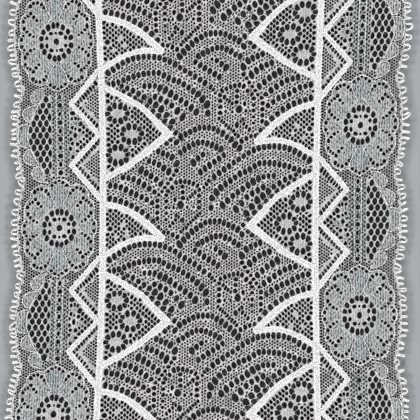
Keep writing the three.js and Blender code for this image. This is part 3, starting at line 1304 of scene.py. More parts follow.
        ridge_tint = np.bincount(ridge, openings.jacquard[site], count) / np.bincount(ridge, minlength=count)
        closed_tint = openings.jacquard[closed_site]
        is_fine = openings.half[open_site].min(axis=1) < self.fine_half
        closed_shade = self.dimple_shade * np.minimum(2.0 * closed_tint, 1.0)
        # Painted shade: rims of openings, less for fine ones, and dimples of jacquard cloth get a share of a
        # dark colour where shade falls; ridges get none
        layers = {
            GroundFinish.TINT_LAYER: (
                ridge_tint, ridge_tint, openings.jacquard[open_site], closed_tint, closed_tint
            ),
            GroundFinish.PAINTED_SHADE_LAYER: (
                np.zeros(2 * count), np.where(is_fine, self.fine_shade, 1.0), closed_shade, closed_shade
            ),
            GroundFinish.WALE_LAYER: (drawn[:, 0] / self.wale,),
        }
        for layer, values in layers.items():
            mesh.attributes.new(layer, "FLOAT", "POINT").data.foreach_set("value", np.concatenate(values))
        self.sharpen(mesh, np.concatenate([start * count + end, end * count + start]), count)
        return put(name, mesh)

    def sharpen(self, mesh: Mesh, rims: Array, count: int) -> None:
        """Keeps the cut edges of the net sharp, so that its tops stay smoothly shaded.

        Args:
            mesh: Mesh of the net.
            rims: Cut edges, as numbers made of their two ridge points.
            count: Number of ridge points.
        """
        ends = np.zeros(2 * len(mesh.edges), dtype=np.int64)
        mesh.edges.foreach_get("vertices", ends)
        ends = ends.reshape(-1, 2)
        level = ends < count
        below = (ends >= count) & (ends < 2 * count)
        flat = level.all(axis=1) | below.all(axis=1)
        ends = ends % count
        sharp = flat & np.isin(ends[:, 0] * count + ends[:, 1], rims)
        layer = mesh.attributes.new("sharp_edge", "BOOLEAN", "EDGE")
        layer.data.foreach_set("value", sharp)

    def dress(self, pieces: dict[str, Object], yarn: Material) -> None:
        """Gives every length of the net its yarn."""
        for piece in pieces.values():
            piece.data.materials.append(yarn)


@dataclass
class Cells:
    """The strands between neighbouring openings, as a cell of ridge corners round each opening.

    Attributes:
        openings: The openings.
        corner: Place of each ridge corner, in squares.
        site: Opening of each entry; an entry is one corner of one opening's cell.
        ridge: Corner of each entry.
        following: Next entry round the same cell.
        rim: Place on the opening's rim that faces the corner.
    """

    openings: Openings
    corner: Array
    site: Array
    ridge: Array
    following: Array
    rim: Array

    # Half size from which an opening is large, half the thinnest strand and the least rim, in squares
    ROUND_FROM = 1.25
    THINNEST = 0.25
    LEAST_RIM = 0.12
    # Shares of the way between two openings where the middle of their strand may lie
    MIDDLE_RANGE = (0.1, 0.9)

    @classmethod
    def between(cls, openings: Openings) -> "Cells":
        """Finds the strands between openings.

        Args:
            openings: Every opening, with those off the cloth that shape its outline.

        Returns:
            The cells of every opening that is on the cloth.
        """
        place = openings.place
        found = geometry.delaunay_2d_cdt([Vector(point) for point in place], [], [], 0, SMALL)
        if len(found[0]) != len(place):
            raise ValueError("two openings are charted at one place")
        corners = np.array(found[2])
        sides = np.vstack([corners[:, [0, 1]], corners[:, [1, 2]], corners[:, [2, 0]]])
        middle = cls.strand_middle(openings, sides)
        count = len(corners)
        junction = (middle[:count] + middle[count:2 * count] + middle[2 * count:]) / 3.0

        # A large opening gets a corner in the middle of each strand too, so that its rim comes out round
        sides.sort(axis=1)
        sides, first = np.unique(sides, axis=0, return_index=True)
        size = openings.half.mean(axis=1)
        size[openings.kind != Opening.EYELET] = 0.0
        wanted = size[sides].max(axis=1) > cls.ROUND_FROM
        sides, middle = sides[wanted], middle[first[wanted]]

        corner = np.vstack([junction, middle])
        site = np.concatenate([corners.ravel(), sides.ravel()])
        ridge = np.concatenate([np.repeat(np.arange(count), 3), count + np.repeat(np.arange(len(sides)), 2)])
        on_cloth = openings.kind[site] != Opening.OUTSIDE
        site, ridge = site[on_cloth], ridge[on_cloth]
        away = corner[ridge] - place[site]
        order = np.lexsort((np.arctan2(away[:, 1], away[:, 0]), site))
        site, ridge, away = site[order], ridge[order], away[order]
        last = np.append(site[1:] != site[:-1], True)
        first = np.append(0, np.flatnonzero(last)[:-1] + 1)
        following = np.arange(len(site)) + 1
        following[last] = first
        distance = np.maximum(np.hypot(*away.T), SMALL)
        reach = np.minimum(openings.reach(site, away), distance - cls.THINNEST)
        rim = place[site] + away * (np.maximum(reach, cls.LEAST_RIM) / distance)[:, None]
        return cls(openings, corner, site, ridge, following, rim)

    @classmethod
    def strand_middle(cls, openings: Openings, sides: Array) -> Array:
        """Finds the middle of the strand between pairs of openings.

        Args:
            openings: The openings.
            sides: Pairs of opening numbers.

        Returns:
            Place of each strand's middle.
        """
        start, end = openings.place[sides[:, 0]], openings.place[sides[:, 1]]
        gap = end - start
        distance = np.maximum(np.hypot(*gap.T), SMALL)
        near = openings.reach(sides[:, 0], gap)
        far = openings.reach(sides[:, 1], -gap)
        share = np.clip((near + (distance - near - far) / 2.0) / distance, *cls.MIDDLE_RANGE)
        return start + gap * share[:, None]


@dataclass(frozen=True)
class StitchSize:
    """Sizes of one stitched line.

    Attributes:
        spacing: Distance between stitches, in metres.
        width: Width of the line, across which each stitch lies.
        length: Size of a stitch along the line.
        height: Height of a stitch.
        level: Height of the stitches' middles above the underside.
        slant: Turn of the stitches, to one side and the other by turns, in radians.
        jitter: Share by which turn and size vary.
        rings: Rings of faces from end to end of a stitch.
        seed: Seed of that variation.
        rows: Rows of stitches side by side.
        row_pitch: Distance between those rows where the line has its full width.
    """

    spacing: float
    width: float
    length: float
    height: float
    level: float
    slant: float
    jitter: float
    rings: int
    seed: int
    rows: int = 1
    row_pitch: float = 0.0


class PathTree:
    """Geometry Nodes tree that makes yarn along guide paths, with named inputs for its sizes.

    Attributes:
        tree: The tree.
        node: Adds a node to it.
        size: Its inputs by name.
    """

    NAME: str
    SIZES: tuple[tuple[str, str], ...]

    def __init__(self) -> None:
        """Builds the tree, from guide paths to yarn with its material."""
        tree = bpy.data.node_groups.new(self.NAME, "GeometryNodeTree")
        for name, kind in (("Paths", "Geometry"), *self.SIZES, ("Yarn", "Material")):
            tree.interface.new_socket(name, in_out="INPUT", socket_type="NodeSocket" + kind)
        tree.interface.new_socket("Made", in_out="OUTPUT", socket_type="NodeSocketGeometry")
        node = partial(add_node, tree)
        self.tree, self.node = tree, node
        self.size = node("NodeGroupInput").outputs
        curve = node("GeometryNodeMeshToCurve", {"Mesh": self.size["Paths"]})
        real = node("GeometryNodeRealizeInstances", {"Geometry": self.along(curve)})
        smooth = node("GeometryNodeSetShadeSmooth", {"Geometry": real})
        dressed = node("GeometryNodeSetMaterial", {"Geometry": smooth, "Material": self.size["Yarn"]})
        node("NodeGroupOutput", {"Made": dressed})

    def along(self, curve: Node) -> Node:
        """Makes the yarn along curves, which each kind of tree does in its own way."""
        raise NotImplementedError


class StitchTree(PathTree):
    """Lays stitches side by side along paths."""

    NAME = "stitched line"
    SIZES = (
        ("Spacing", "Float"), ("Width", "Float"), ("Length", "Float"), ("Height", "Float"),
        ("Slant", "Float"), ("Jitter", "Float"), ("Rings", "Int"), ("Seed", "Int"),
    )
    WIDTH_LAYER = "width_share"
    SIDES = 8

    def along(self, curve: Node) -> Node:
        """Lays a stitch at every step of the curves.

        Args:
            curve: The paths as curves.

        Returns:
            The stitches.
        """
        node, size = self.node, self.size
        points = node("GeometryNodeCurveToPoints", {"Curve": curve, "Length": size["Spacing"]}, mode="LENGTH")
        along = node(
            "FunctionNodeAlignRotationToVector", {"Vector": points.outputs["Tangent"]},
            axis="X", pivot_axis="Z",
        )
        turned = node(
            "FunctionNodeRotateRotation",
            {"Rotation": along, "Rotate By": self.slanted()}, rotation_space="LOCAL",
        )
        return node(
            "GeometryNodeInstanceOnPoints",
            {"Points": points, "Instance": self.stitch(), "Rotation": turned, "Scale": self.scaled()},
        )

    def stitch(self) -> Node:
        """Makes one stitch.

        Returns:
            A rounded grain that lies across the line, blunt at its ends.
        """
        node = self.node
        grain = node(
            "GeometryNodeMeshUVSphere", {"Segments": self.SIDES, "Rings": self.size["Rings"], "Radius": 0.5}
        )
        place = node("GeometryNodeInputPosition")
        upright = node(
            "ShaderNodeVectorRotate", {"Vector": place, "Angle": math.pi / 2.0}, rotation_type="X_AXIS"
        )
        return node("GeometryNodeSetPosition", {"Geometry": grain, "Position": upright})

    def slanted(self) -> Node:
        """Turns stitches to one side and the other by turns, never quite alike.

        Returns:
            The turn of each stitch.
        """
        node, size = self.node, self.size
        index = node("GeometryNodeInputIndex")
        odd = node("ShaderNodeMath", {0: index, 1: 2.0}, operation="MODULO")
        sign = node("ShaderNodeMath", {0: odd, 1: 2.0, 2: -1.0}, operation="MULTIPLY_ADD")
        draw = node(
            "FunctionNodeRandomValue", {"Min": -0.5, "Max": 0.5, "Seed": size["Seed"]}, data_type="FLOAT"
        )
        loose = node("ShaderNodeMath", {0: draw, 1: size["Jitter"]}, operation="MULTIPLY")
        turn = node("ShaderNodeMath", {0: sign, 1: size["Slant"], 2: loose}, operation="MULTIPLY_ADD")
        euler = node("ShaderNodeCombineXYZ", {"Z": turn})
        return node("FunctionNodeEulerToRotation", {"Euler": euler})

    def scaled(self) -> Node:
        """Scales stitches to the line's sizes and its width there, never quite alike.

        Returns:
            The size of each stitch.
        """
        node, size = self.node, self.size
        draw = node("FunctionNodeRandomValue", {"Seed": size["Seed"]}, data_type="FLOAT")
        share = node("GeometryNodeInputNamedAttribute", {"Name": self.WIDTH_LAYER}, data_type="FLOAT")
        width = node("ShaderNodeMath", {0: share, 1: size["Width"]}, operation="MULTIPLY")
        whole = node("ShaderNodeCombineXYZ", {"X": size["Length"], "Y": width, "Z": size["Height"]})
        loose = node("ShaderNodeMath", {0: draw, 1: size["Jitter"], 2: 1.0}, operation="MULTIPLY_ADD")
        return node("ShaderNodeVectorMath", {0: whole, "Scale": loose}, operation="SCALE")


class YarnTree(PathTree):
    """Runs a round yarn along paths."""

    NAME = "yarn along a path"
    SIZES = (("Thickness", "Float"), ("Sides", "Int"))
    THICKNESS_LAYER = "thickness_share"

    def along(self, curve: Node) -> Node:
        """Runs the yarn, as thick at each point as its layer says.

        Args:
            curve: The paths as curves.

        Returns:
            The yarn.
        """
        node, size = self.node, self.size
        radius = node("ShaderNodeMath", {0: size["Thickness"], 1: 0.5}, operation="MULTIPLY")
        section = node("GeometryNodeCurvePrimitiveCircle", {"Resolution": size["Sides"], "Radius": radius})
        share = node("GeometryNodeInputNamedAttribute", {"Name": self.THICKNESS_LAYER}, data_type="FLOAT")
        return node(
            "GeometryNodeCurveToMesh",
            {"Curve": curve, "Profile Curve": section, "Scale": share, "Fill Caps": True},
        )


def grown(name: str, points: Array, edges: Array, layers: dict[str, Array],
          tree: NodeTree, values: dict[str, object]) -> Object:
    """Runs a Geometry Nodes tree on guide points and keeps the result as a plain mesh.

    Args:
        name: The piece's name.
        points: Guide points, in metres.
        edges: Pairs of points that are joined into paths.
        layers: Named numbers for the points.
        tree: The tree to run.
        values: Values for its inputs, by name.

    Returns:
        The finished piece, with no modifier left on it.
    """
    guide = bpy.data.meshes.new(name + ".guide")
    guide.from_pydata(points.tolist(), edges.tolist(), [])
    for layer, numbers in layers.items():
        guide.attributes.new(layer, "FLOAT", "POINT").data.foreach_set("value", numbers)
    piece = put(name, guide)
    modifier = piece.modifiers.new(tree.name, "NODES")
    modifier.node_group = tree
    for item in tree.interface.items_tree:
        if item.in_out == "INPUT" and item.name in values:
            modifier[item.identifier] = values[item.name]
    graph = bpy.context.evaluated_depsgraph_get()
    mesh = bpy.data.meshes.new_from_object(piece.evaluated_get(graph), depsgraph=graph)
    piece.modifiers.remove(modifier)
    piece.data = mesh
    mesh.name = name
    bpy.data.meshes.remove(guide)
    # A grain brings an empty slot of its own, so the yarn is made the only material
    mesh.materials.clear()
    mesh.materials.append(values["Yarn"])
    return piece


@dataclass
class StitchedLines:
    """Everything stitched or laid along a line: the heavy bars, the thin outlines and the edge's heading.

    Attributes:
        chart: Chart of the pattern.
        bars: The heavy bars.
        heavy: Stitches of the bars, as they are where a bar's swell is one.
        thin: Stitches of the outline threads.
        heading: Stitches of the yarn along the scalloped edge.
        path_pitch: Distance between the guide points of a path, in squares.
        heading_in: How far inside the ground's edge the heading lies, in squares.
        end_overhang: How far a path may run on past the cut ends, in squares.
    """

    chart: Chart
    bars: Bars
    heavy: StitchSize = StitchSize(
        spacing=0.84 * MM, width=1.06 * MM, length=1.15 * MM, height=0.66 * MM, level=0.92 * MM, slant=0.5,
        jitter=0.2, rings=5, seed=3, rows=3, row_pitch=0.57 * MM,
    )
    thin: StitchSize = StitchSize(
        spacing=0.52 * MM, width=0.3 * MM, length=0.56 * MM, height=0.32 * MM, level=0.92 * MM, slant=0.5,
        jitter=0.5, rings=4, seed=5,
    )
    heading: StitchSize = StitchSize(
        spacing=0.52 * MM, width=0.36 * MM, length=0.6 * MM, height=0.4 * MM, level=0.7 * MM, slant=0.4,
        jitter=0.4, rings=4, seed=11,
    )
    path_pitch: float = 2.0
    heading_in: float = 0.9
    end_overhang: float = 0.5

    def build(self, tree: StitchTree, yarn: Material) -> dict[str, Object]:
        """Stitches the bars, the outlines and the headings.

        Args:
            tree: Tree that lays the stitches.
            yarn: Yarn of all of them.

        Returns:
            The pieces by name.
        """
        kinds = (
            ("heavy_bars", self.bar_paths, self.heavy),
            ("outline_threads", self.outline_paths, self.thin),
            ("edge_heading", self.heading_paths, self.heading),
        )
        found = {}
        for side in Side:
            for kind, paths, size in kinds:
                name = f"{kind}_{side.word}"
                found[name] = self.stitched(name, paths(side), size, tree, yarn)
        return found

    def run(self) -> Array:
        """Distances along the whole cut length, a path's pitch apart."""
        return np.arange(self.chart.cut_start, self.chart.cut_end + self.path_pitch, self.path_pitch)

    def bar_paths(self, side: Side) -> Paths:
        """Lists the paths of one side's bars.

        Args:
            side: Which half of the lace.

        Returns:
            Paths of the straight cord and of every bar, each with its swell.
        """
        chart, bars = self.chart, self.bars
        paths = [(chart.along_cord(side, self.run()), bars.cord_width / bars.curve_width)]
        for start in chart.starts(side):
            for path, swell in bars.centre_lines(self.path_pitch):
                paths.append((chart.placed(path, side, start), swell))
        return paths

    def outline_paths(self, side: Side) -> Paths:
        """Lists the paths of one side's outline threads.

        Args:
            side: Which half of the lace.

        Returns:
            Paths, each with its share of the full width.
        """
        drawn = [thread for motif in MOTIFS for thread in motif.threads()]
        return [
            (self.chart.placed(path, side, start), share)
            for start in self.chart.starts(side) for path, share in drawn
        ]

    def heading_paths(self, side: Side) -> Paths:
        """Path of the yarn along one scalloped edge, at its full width."""
        return [(self.chart.along_edge(side, self.run(), -self.heading_in), 1.0)]

    def stitched(
        self, name: str, paths: Paths, size: StitchSize, tree: StitchTree, yarn: Material
    ) -> Object:
        """Stitches one set of paths.

        Args:
            name: The piece's name.
            paths: Chart paths, each with its share of the full width, for all its points or for each.
            size: Sizes of the stitches.
            tree: Tree that lays them.
            yarn: Their yarn.

        Returns:
            The piece.
        """
        points, edges, shares = [], [], []
        count = 0
        for path, share in paths:
            kept = self.chart.keep(path, -self.end_overhang)
            if np.count_nonzero(kept) < 2:
                continue
            share = np.broadcast_to(share, len(path))[kept]
            laid = self.chart.lay(path[kept])
            run = np.gradient(laid, axis=0)
            run /= np.hypot(*run.T)[:, None]
            sideways = np.column_stack([-run[:, 1], run[:, 0]])
            for row in range(size.rows):
                beside = laid + sideways * share[:, None] * (row - (size.rows - 1) / 2.0) * size.row_pitch
                beside[0] += run[0] * size.spacing * (row % 2) / 2.0
                points.append(np.column_stack([beside, np.full(len(laid), size.level)]))
                steps = count + np.arange(len(laid) - 1)
                edges.append(np.column_stack([steps, steps + 1]))
                shares.append(share)
                count += len(laid)
        values = {key: getattr(size, key.lower()) for key, _ in StitchTree.SIZES}
        values["Yarn"] = yarn
        layers = {StitchTree.WIDTH_LAYER: np.concatenate(shares)}
        return grown(name, np.vstack(points), np.vstack(edges), layers, tree.tree, values)


@dataclass
class PicotEdges:
    """The yarn along both scalloped edges, which runs out into a picot and back into a bay by turns.

    Attributes:
        chart: Chart of the pattern.
        reach: Reach of a picot past the ground, in squares.
        bay: Depth of a bay inside the ground's edge.
        bay_half: Half the width of a bay's bottom.
        finger_pitch: Room along the edge for a picot that is drawn out into a finger.
        finger_half: Half the distance between a finger's two strands.
        finger_tip: Share of its thickness that the yarn keeps at a finger's tip.
        loop_pitch: Room along the edge for a picot that stands open as a loop.
        loop_half: Half the distance between a loop's two strands.
        loop_tip: Share of its thickness that the yarn keeps at a loop's tip, where it is stretched.
        loop_share: Share of the picots that stand open; those in the notches always do.
        lean: How far tips lean along the edge.
        notch_reach: How near a notch a picot always stands open, in squares.
        variation: Share by which reach, room and thickness at the tip vary.
        loosest: Least and most of that variation.
        path_pitch: Distance between the guide points of the yarn.
        yarn_thickness: Thickness of the yarn, in metres.
        yarn_sides: Faces round the yarn.
        level: Height of the yarn's middle, in metres.
        seed: Seed of the variation.
    """

    chart: Chart
    reach: float = 5.3
    bay: float = 2.1
    bay_half: float = 1.2
    finger_pitch: float = 5.9
    finger_half: float = 0.4
    finger_tip: float = 0.85
    loop_pitch: float = 9.0
    loop_half: float = 2.1
    loop_tip: float = 0.55
    loop_share: float = 0.4
    lean: float = 0.9
    notch_reach: float = 3.0
    variation: float = 0.15
    loosest: Pair = (0.65, 1.35)
    path_pitch: float = 0.7
    yarn_thickness: float = 0.74 * MM
    yarn_sides: int = 7
    level: float = 0.56 * MM
    seed: int = 21

    # The yarn round one picot: shares of its lean, half width and reach, and whether the yarn is at the tip
    ROUND_PICOT = (
        (0.0, -1.0, 0.12, False), (0.5, -1.0, 0.52, False), (1.0, -0.7, 0.88, True), (1.0, 0.0, 1.0, True),
        (1.0, 0.7, 0.88, True), (0.5, 1.0, 0.52, False), (0.0, 1.0, 0.12, False),
    )

    def on_edge(self, side: Side, along: float, ahead: float, out: float) -> Array:
        """Finds a place beside the edge.

        Args:
            side: Which edge.
            along: Place along the lace of the point on the edge to start from.
            ahead: Distance from there along the edge.
            out: Distance from there out of the edge.

        Returns:
            Distance across and along, in squares.
        """
        around = along - self.chart.drop(side) + np.array([-0.5, 0.0, 0.5])
        before, here, after = self.chart.edge_out(around)
        slope = after - before
        run = np.array([slope, 1.0]) / math.hypot(slope, 1.0)
        place = np.array([here, along]) + ahead * run + out * np.array([run[1], -run[0]])
        return place * (side, 1.0)

    def edge_path(self, side: Side, draws: np.random.Generator) -> Array:
        """Leads the yarn along one edge, round its picots and bays.

        Args:
            side: Which edge.
            draws: Source of the variation.

        Returns:
            Places of the yarn, in squares, each with the yarn's share of its thickness.
        """
        chart = self.chart
        stops = []
        here = chart.cut_start
        while here < chart.cut_end - self.loop_pitch:
            from_notch = (here - chart.drop(side)) % chart.half_drop - chart.half_drop / 2.0
            at_notch = abs(from_notch + self.loop_pitch / 2.0) < self.notch_reach
            is_loop = at_notch or draws.random() < self.loop_share
            pitch, half, tip = (
                (self.loop_pitch, self.loop_half, self.loop_tip) if is_loop
                else (self.finger_pitch, self.finger_half, self.finger_tip)
            )
            loose = np.clip(draws.normal(1.0, self.variation, 3), *self.loosest)
            pitch, reach, tip = np.array([pitch, self.reach, tip]) * loose
            half *= loose[0]
            lean = draws.normal(0.0, self.lean)
            for ahead in (-self.bay_half, self.bay_half):
                stops.append((*self.on_edge(side, here, ahead, -self.bay), 1.0))
            for leaning, beside, out, at_tip in self.ROUND_PICOT:
                ahead = leaning * lean + beside * half
                place = self.on_edge(side, here + pitch / 2.0, ahead, out * reach)
                stops.append((*place, tip if at_tip else 1.0))
            here += pitch
        return walk(np.array(stops), self.path_pitch)

    def build(self, tree: YarnTree, yarn: Material) -> dict[str, Object]:
        """Leads the yarn along both edges.

        Args:
            tree: Tree that runs it along its path.
            yarn: The yarn.

        Returns:
            The pieces by name.
        """
        draws = np.random.default_rng(self.seed)
        values = {"Thickness": self.yarn_thickness, "Sides": self.yarn_sides, "Yarn": yarn}
        found = {}
        for side in Side:
            name = f"picots_{side.word}"
            path = self.edge_path(side, draws)
            points = np.column_stack([self.chart.lay(path[:, :2]), np.full(len(path), self.level)])
            steps = np.arange(len(points) - 1)
            layers = {YarnTree.THICKNESS_LAYER: path[:, 2]}
            found[name] = grown(name, points, np.column_stack([steps, steps + 1]), layers, tree.tree, values)
        return found


@dataclass(frozen=True)
class YarnFinish:
    """A finish of one yarn.

    Attributes:
        name: The real yarn and how it was made.
        light: Colour of its whiter stretches.
        dull: Colour of its duller stretches.
        roughness: Roughness of its fibres.
        sheen: Weight of its soft sheen.
        filament: Width of one drawn filament bundle, in metres.
        patch: Length over which the yarn's whiteness wanders, in metres.
        relief: Height of the filaments, in metres.
    """

    name: str
    light: str
    dull: str
    roughness: float
    sheen: float
    filament: float
    patch: float
    relief: float

    def colour(self, tree: NodeTree, place: NodeSocket) -> Node:
        """Colours the yarn: its whiteness wanders from patch to patch, as between machine-knitted yarns.

        Args:
            tree: The material's tree.
            place: Place on the piece.

        Returns:
            The colour.
        """
        node = partial(add_node, tree)
        wander = node(
            "ShaderNodeTexNoise",
            {"Vector": place, "Scale": 1.0 / self.patch, "Detail": 3.0, "Roughness": 0.6},
        )
        flecks = node("ShaderNodeMapRange", {"Value": wander, "From Min": 0.34, "From Max": 0.62})
        return node(
            "ShaderNodeMix",
            {"Factor": flecks, "A": linear(self.dull), "B": linear(self.light)}, data_type="RGBA",
        )

    def material(self) -> Material:
        """Makes the yarn's material.

        Returns:
            The material.
        """
        material = bare_material(self.name)
        tree = material.node_tree
        node = partial(add_node, tree)
        place = node("ShaderNodeTexCoord").outputs["Object"]
        # Filaments are far finer than a pixel, so they are drawn coarser, as wide as the render can show
        fibres = node(
            "ShaderNodeTexNoise",
            {"Vector": place, "Scale": 1.0 / self.filament, "Detail": 2.0, "Roughness": 0.7},
        )
        raised = node("ShaderNodeBump", {"Height": fibres, "Strength": 0.6, "Distance": self.relief})
        shader = node(
            "ShaderNodeBsdfPrincipled",
            {"Base Color": self.colour(tree, place), "Normal": raised, "Roughness": self.roughness,
             "IOR": 1.53, "Specular IOR Level": 0.3, "Sheen Weight": self.sheen, "Sheen Roughness": 0.5},
        )
        node("ShaderNodeOutputMaterial", {"Surface": shader})
        return material


@dataclass(frozen=True)
class GroundFinish(YarnFinish):
    """A finish of the knitted ground, which reads the layers of its meshes and paints shade at the rims of
    openings, in the dimples of closed cloth and in the grooves between wales.

    Attributes:
        jacquard: Colour where jacquard yarn is knitted in.
        groove_shade: Colour of the painted shade in the grooves between the wales of closed cloth.
        hollow: Colour of the painted shade where strands turn down into an opening and in the dimples of
            closed cloth.
        dash: Length of the dashes that the grooves between wales break into, in metres.
        wave: How far the wales wander to either side, as a share of their distance.
        dash_spread: Steps in the pattern of dashes from one wale to the next, so that no two are alike.
        painted_shade_power: Power by which the painted shade on a strand deepens from its crown to an
            opening.
    """

    jacquard: str
    groove_shade: str
    hollow: str
    dash: float = 0.4 * MM
    wave: float = 1.3
    dash_spread: float = 7.3
    painted_shade_power: float = 1.4

    TINT_LAYER = "jacquard_share"
    PAINTED_SHADE_LAYER = "hollow_share"
    WALE_LAYER = "wale_number"

    def colour(self, tree: NodeTree, place: NodeSocket) -> Node:
        """Colours the ground: jacquard yarn, and painted shade in the grooves between wales and where strands
        turn down.

        Args:
            tree: The material's tree.
            place: Place on the piece.

        Returns:
            The colour.
        """
        node = partial(add_node, tree)
        share = node("ShaderNodeAttribute", attribute_name=self.TINT_LAYER).outputs["Fac"]
        closed = node("ShaderNodeMath", {0: share, 1: 2.0}, operation="MULTIPLY", use_clamp=True)
        grooves = node("ShaderNodeMath", {0: self.grooves(tree, place), 1: closed}, operation="MULTIPLY")
        # Painted shade where strands turn down into an opening and in the dimples of closed cloth: strands
        # are thin there and little light comes back
        shade_layer = node("ShaderNodeAttribute", attribute_name=self.PAINTED_SHADE_LAYER)
        shade_amount = node(
            "ShaderNodeMath", {0: shade_layer.outputs["Fac"], 1: self.painted_shade_power}, operation="POWER"
        )
        shown = super().colour(tree, place)
        for amount, tint in ((share, self.jacquard), (grooves, self.groove_shade), (shade_amount, self.hollow)):
            values = {"Factor": amount, "A": shown, "B": linear(tint)}
            shown = node("ShaderNodeMix", values, data_type="RGBA")
        return shown

    def grooves(self, tree: NodeTree, place: NodeSocket) -> Node:
        """Draws painted shade in the grooves between the wales of closed cloth: fine upright lines, parted by
        dark grooves that break into dashes.

        Args:
            tree: The material's tree.
            place: Place on the piece.

        Returns:
            How much painted shade each point gets in the grooves, from nought to one.
        """
        node = partial(add_node, tree)
        number = node("ShaderNodeAttribute", attribute_name=self.WALE_LAYER)
        sway = node("ShaderNodeTexNoise", {"Vector": place, "Scale": 1.0 / (3.0 * self.dash), "Detail": 1.0})
        wale = node(
            "ShaderNodeMath", {0: sway, 1: self.wave, 2: number.outputs["Fac"]}, operation="MULTIPLY_ADD"
        )
        turn = node("ShaderNodeMath", {0: wale, 1: FULL_TURN}, operation="MULTIPLY")
        swing = node("ShaderNodeMath", {0: turn}, operation="COSINE")
        groove_shade = node("ShaderNodeMapRange", {"Value": swing, "From Min": -0.8, "From Max": 0.7})
        column = node("ShaderNodeMath", {0: wale}, operation="ROUND")
        spread = node("ShaderNodeMath", {0: column, 1: self.dash_spread}, operation="MULTIPLY")
        split = node("ShaderNodeSeparateXYZ", {0: place})
        along = node("ShaderNodeMath", {0: split.outputs["Y"], 1: self.dash}, operation="DIVIDE")
        beside = node("ShaderNodeCombineXYZ", {"X": spread, "Y": along})
        broken = node("ShaderNodeTexNoise", {"Vector": beside, "Scale": 0.5, "Detail": 1.0})
        dashes = node(
            "ShaderNodeMapRange", {"Value": broken, "From Min": 0.36, "From Max": 0.6, "To Min": 0.25}
        )
        return node("ShaderNodeMath", {0: groove_shade, 1: dashes}, operation="MULTIPLY")


# Fine ground yarn lets some of the light through, so it reads greyer than the heavy yarn
GROUND_YARN = GroundFinish(
    name="textured nylon ground yarn, warp-knitted", light="#EFEDED", dull="#CECCCD", roughness=0.8,
    sheen=0.15, filament=0.35 * MM, patch=2.4 * MM, relief=0.05 * MM,
    # The two darkest colours are painted shade: in the grooves between wales, and at opening rims and dimples
    jacquard="#CCD3D3", groove_shade="#3A3E3E", hollow="#101111",
)
# Bulked yarn of many loose filaments, which scatters nearly all the light
HEAVY_YARN = YarnFinish(
    name="bulked white nylon pattern yarn, laid in", light="#FCFBFB", dull="#CDCCCD", roughness=0.85,
    sheen=0.3, filament=0.4 * MM, patch=0.6 * MM, relief=0.08 * MM,
)


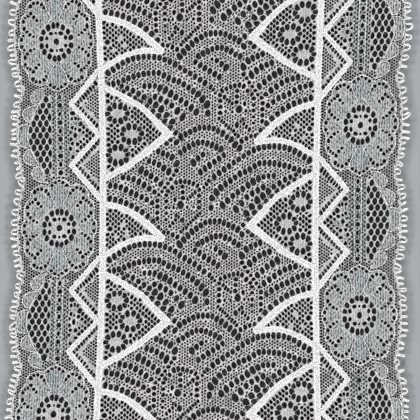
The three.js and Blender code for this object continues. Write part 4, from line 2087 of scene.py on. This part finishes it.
@dataclass
class Studio:
    """The pale floor, the soft light and the camera above the lace.

    Attributes:
        chart: Chart, which places the camera over the photographed stretch.
        view_pixel: Place seen at the middle of the picture, in pixels right and down of the chart's zero.
        view_squares: Width of the picture, in squares.
        camera_height: Height of the camera, in metres.
        camera_reach: How far the camera sees, in metres.
        sensor: Width of its sensor, in millimetres.
        floor_half: Half the side of the floor, in metres.
        floor_colour: Colour of the floor's pale finish.
        floor_fleck: Its second colour, which the first wanders into.
        floor_patch: Length over which it does, in metres.
        light_count: Soft lights in a ring about the lace.
        light_distance: Their distance from it, in metres.
        light_elevation: Their height above the floor, in radians; low, so that the eyelets stay dark.
        light_size: Width and height of each light's face, in metres; flat, as they are low.
        light_power: Power of each, in watts.
        surroundings: Strength of the light from all round.
        surroundings_colour: Its colour.
    """

    chart: Chart
    view_pixel: Pair = (0.0, -14.0)
    view_squares: float = 420.0
    camera_height: float = 0.9
    camera_reach: float = 20.0
    sensor: float = 36.0
    floor_half: float = 1.5
    floor_colour: str = "#B4B6B9"
    floor_fleck: str = "#B0B2B5"
    floor_patch: float = 0.125
    light_count: int = 6
    light_distance: float = 1.8
    light_elevation: float = math.radians(13.0)
    light_size: Pair = (0.9, 0.18)
    light_power: float = 19.6
    surroundings: float = 0.008
    surroundings_colour: str = "#F4F6FA"

    def build(self) -> None:
        """Sets up the floor, lights, surroundings and camera."""
        self.floor()
        low = self.light_distance * math.cos(self.light_elevation)
        high = self.light_distance * math.sin(self.light_elevation)
        for number in range(self.light_count):
            turn = FULL_TURN * (number + 0.5) / self.light_count
            self.light(f"soft light {number + 1}", (low * math.cos(turn), low * math.sin(turn), high))
        world = bpy.data.worlds.new("studio surroundings")
        world.use_nodes = True
        background = world.node_tree.nodes["Background"].inputs
        background["Color"].default_value = linear(self.surroundings_colour)
        background["Strength"].default_value = self.surroundings
        bpy.context.scene.world = world
        bpy.context.scene.view_settings.view_transform = "Standard"
        bpy.context.scene.view_settings.look = "Medium High Contrast"
        self.camera()

    def floor(self) -> None:
        """Lays the floor, with its top face where the lace's underside is."""
        half = self.floor_half
        mesh = bpy.data.meshes.new("floor")
        corners = [(-half, -half, 0), (half, -half, 0), (half, half, 0), (-half, half, 0)]
        mesh.from_pydata(corners, [], [(0, 1, 2, 3)])
        # Matt laminate is even and pale, with a faint cloud and no gloss to draw the eye
        material = bare_material("matt laminate, pale grey")
        node = partial(add_node, material.node_tree)
        place = node("ShaderNodeTexCoord").outputs["Object"]
        cloud = node("ShaderNodeTexNoise", {"Vector": place, "Scale": 1.0 / self.floor_patch, "Detail": 2.0})
        colour = node(
            "ShaderNodeMix",
            {"Factor": cloud, "A": linear(self.floor_colour), "B": linear(self.floor_fleck)},
            data_type="RGBA",
        )
        shader = node("ShaderNodeBsdfPrincipled", {"Base Color": colour, "Roughness": 0.75})
        node("ShaderNodeOutputMaterial", {"Surface": shader})
        mesh.materials.append(material)
        put("floor", mesh)

    def light(self, name: str, place: tuple[float, float, float]) -> None:
        """Hangs one soft oblong light, turned towards the lace.

        Args:
            name: The light's name.
            place: Its place, in metres.
        """
        lamp = bpy.data.lights.new(name, "AREA")
        lamp.shape = "RECTANGLE"
        lamp.size, lamp.size_y = self.light_size
        lamp.energy = self.light_power
        hung = put(name, lamp)
        hung.location = place
        hung.rotation_euler = (-Vector(place)).to_track_quat("-Z", "Y").to_euler()
        hung.visible_camera = False

    def camera(self) -> None:
        """Sets the camera straight above the photographed stretch."""
        middle = (np.array(self.view_pixel) - self.chart.middle) * (self.chart.square, -self.chart.square)
        view = bpy.data.cameras.new("camera")
        view.sensor_width = self.sensor
        view.lens = self.sensor * self.camera_height / (self.view_squares * self.chart.square)
        view.clip_end = self.camera_reach
        stand = put("camera", view)
        stand.location = (*middle, self.camera_height)
        bpy.context.scene.camera = stand


def declare(nets: dict[str, Object], trims: dict[str, Object]) -> None:
    """Tells the frame what every piece is.

    Args:
        nets: Lengths of the knitted ground.
        trims: Yarn laid or looped on the ground.
    """
    for name, piece in {**nets, **trims}.items():
        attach(piece, BODY)
        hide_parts(NODE)
        piece.data.calc_loop_triangles()
        log.info("%s: %d triangles", name, len(piece.data.loop_triangles))


def main() -> None:
    """Builds the lace and the studio, and reports each piece."""
    logging.basicConfig(level=logging.INFO, format="%(name)s: %(message)s")
    chart = Chart()
    bars = Bars()
    ground_yarn = GROUND_YARN.material()
    heavy_yarn = HEAVY_YARN.material()
    ground = KnittedGround(chart, bars)
    nets = ground.build()
    ground.dress(nets, ground_yarn)
    trims = StitchedLines(chart, bars).build(StitchTree(), heavy_yarn)
    trims.update(PicotEdges(chart).build(YarnTree(), heavy_yarn))
    declare(nets, trims)
    Studio(chart).build()


if __name__ == "__main__":
    main()
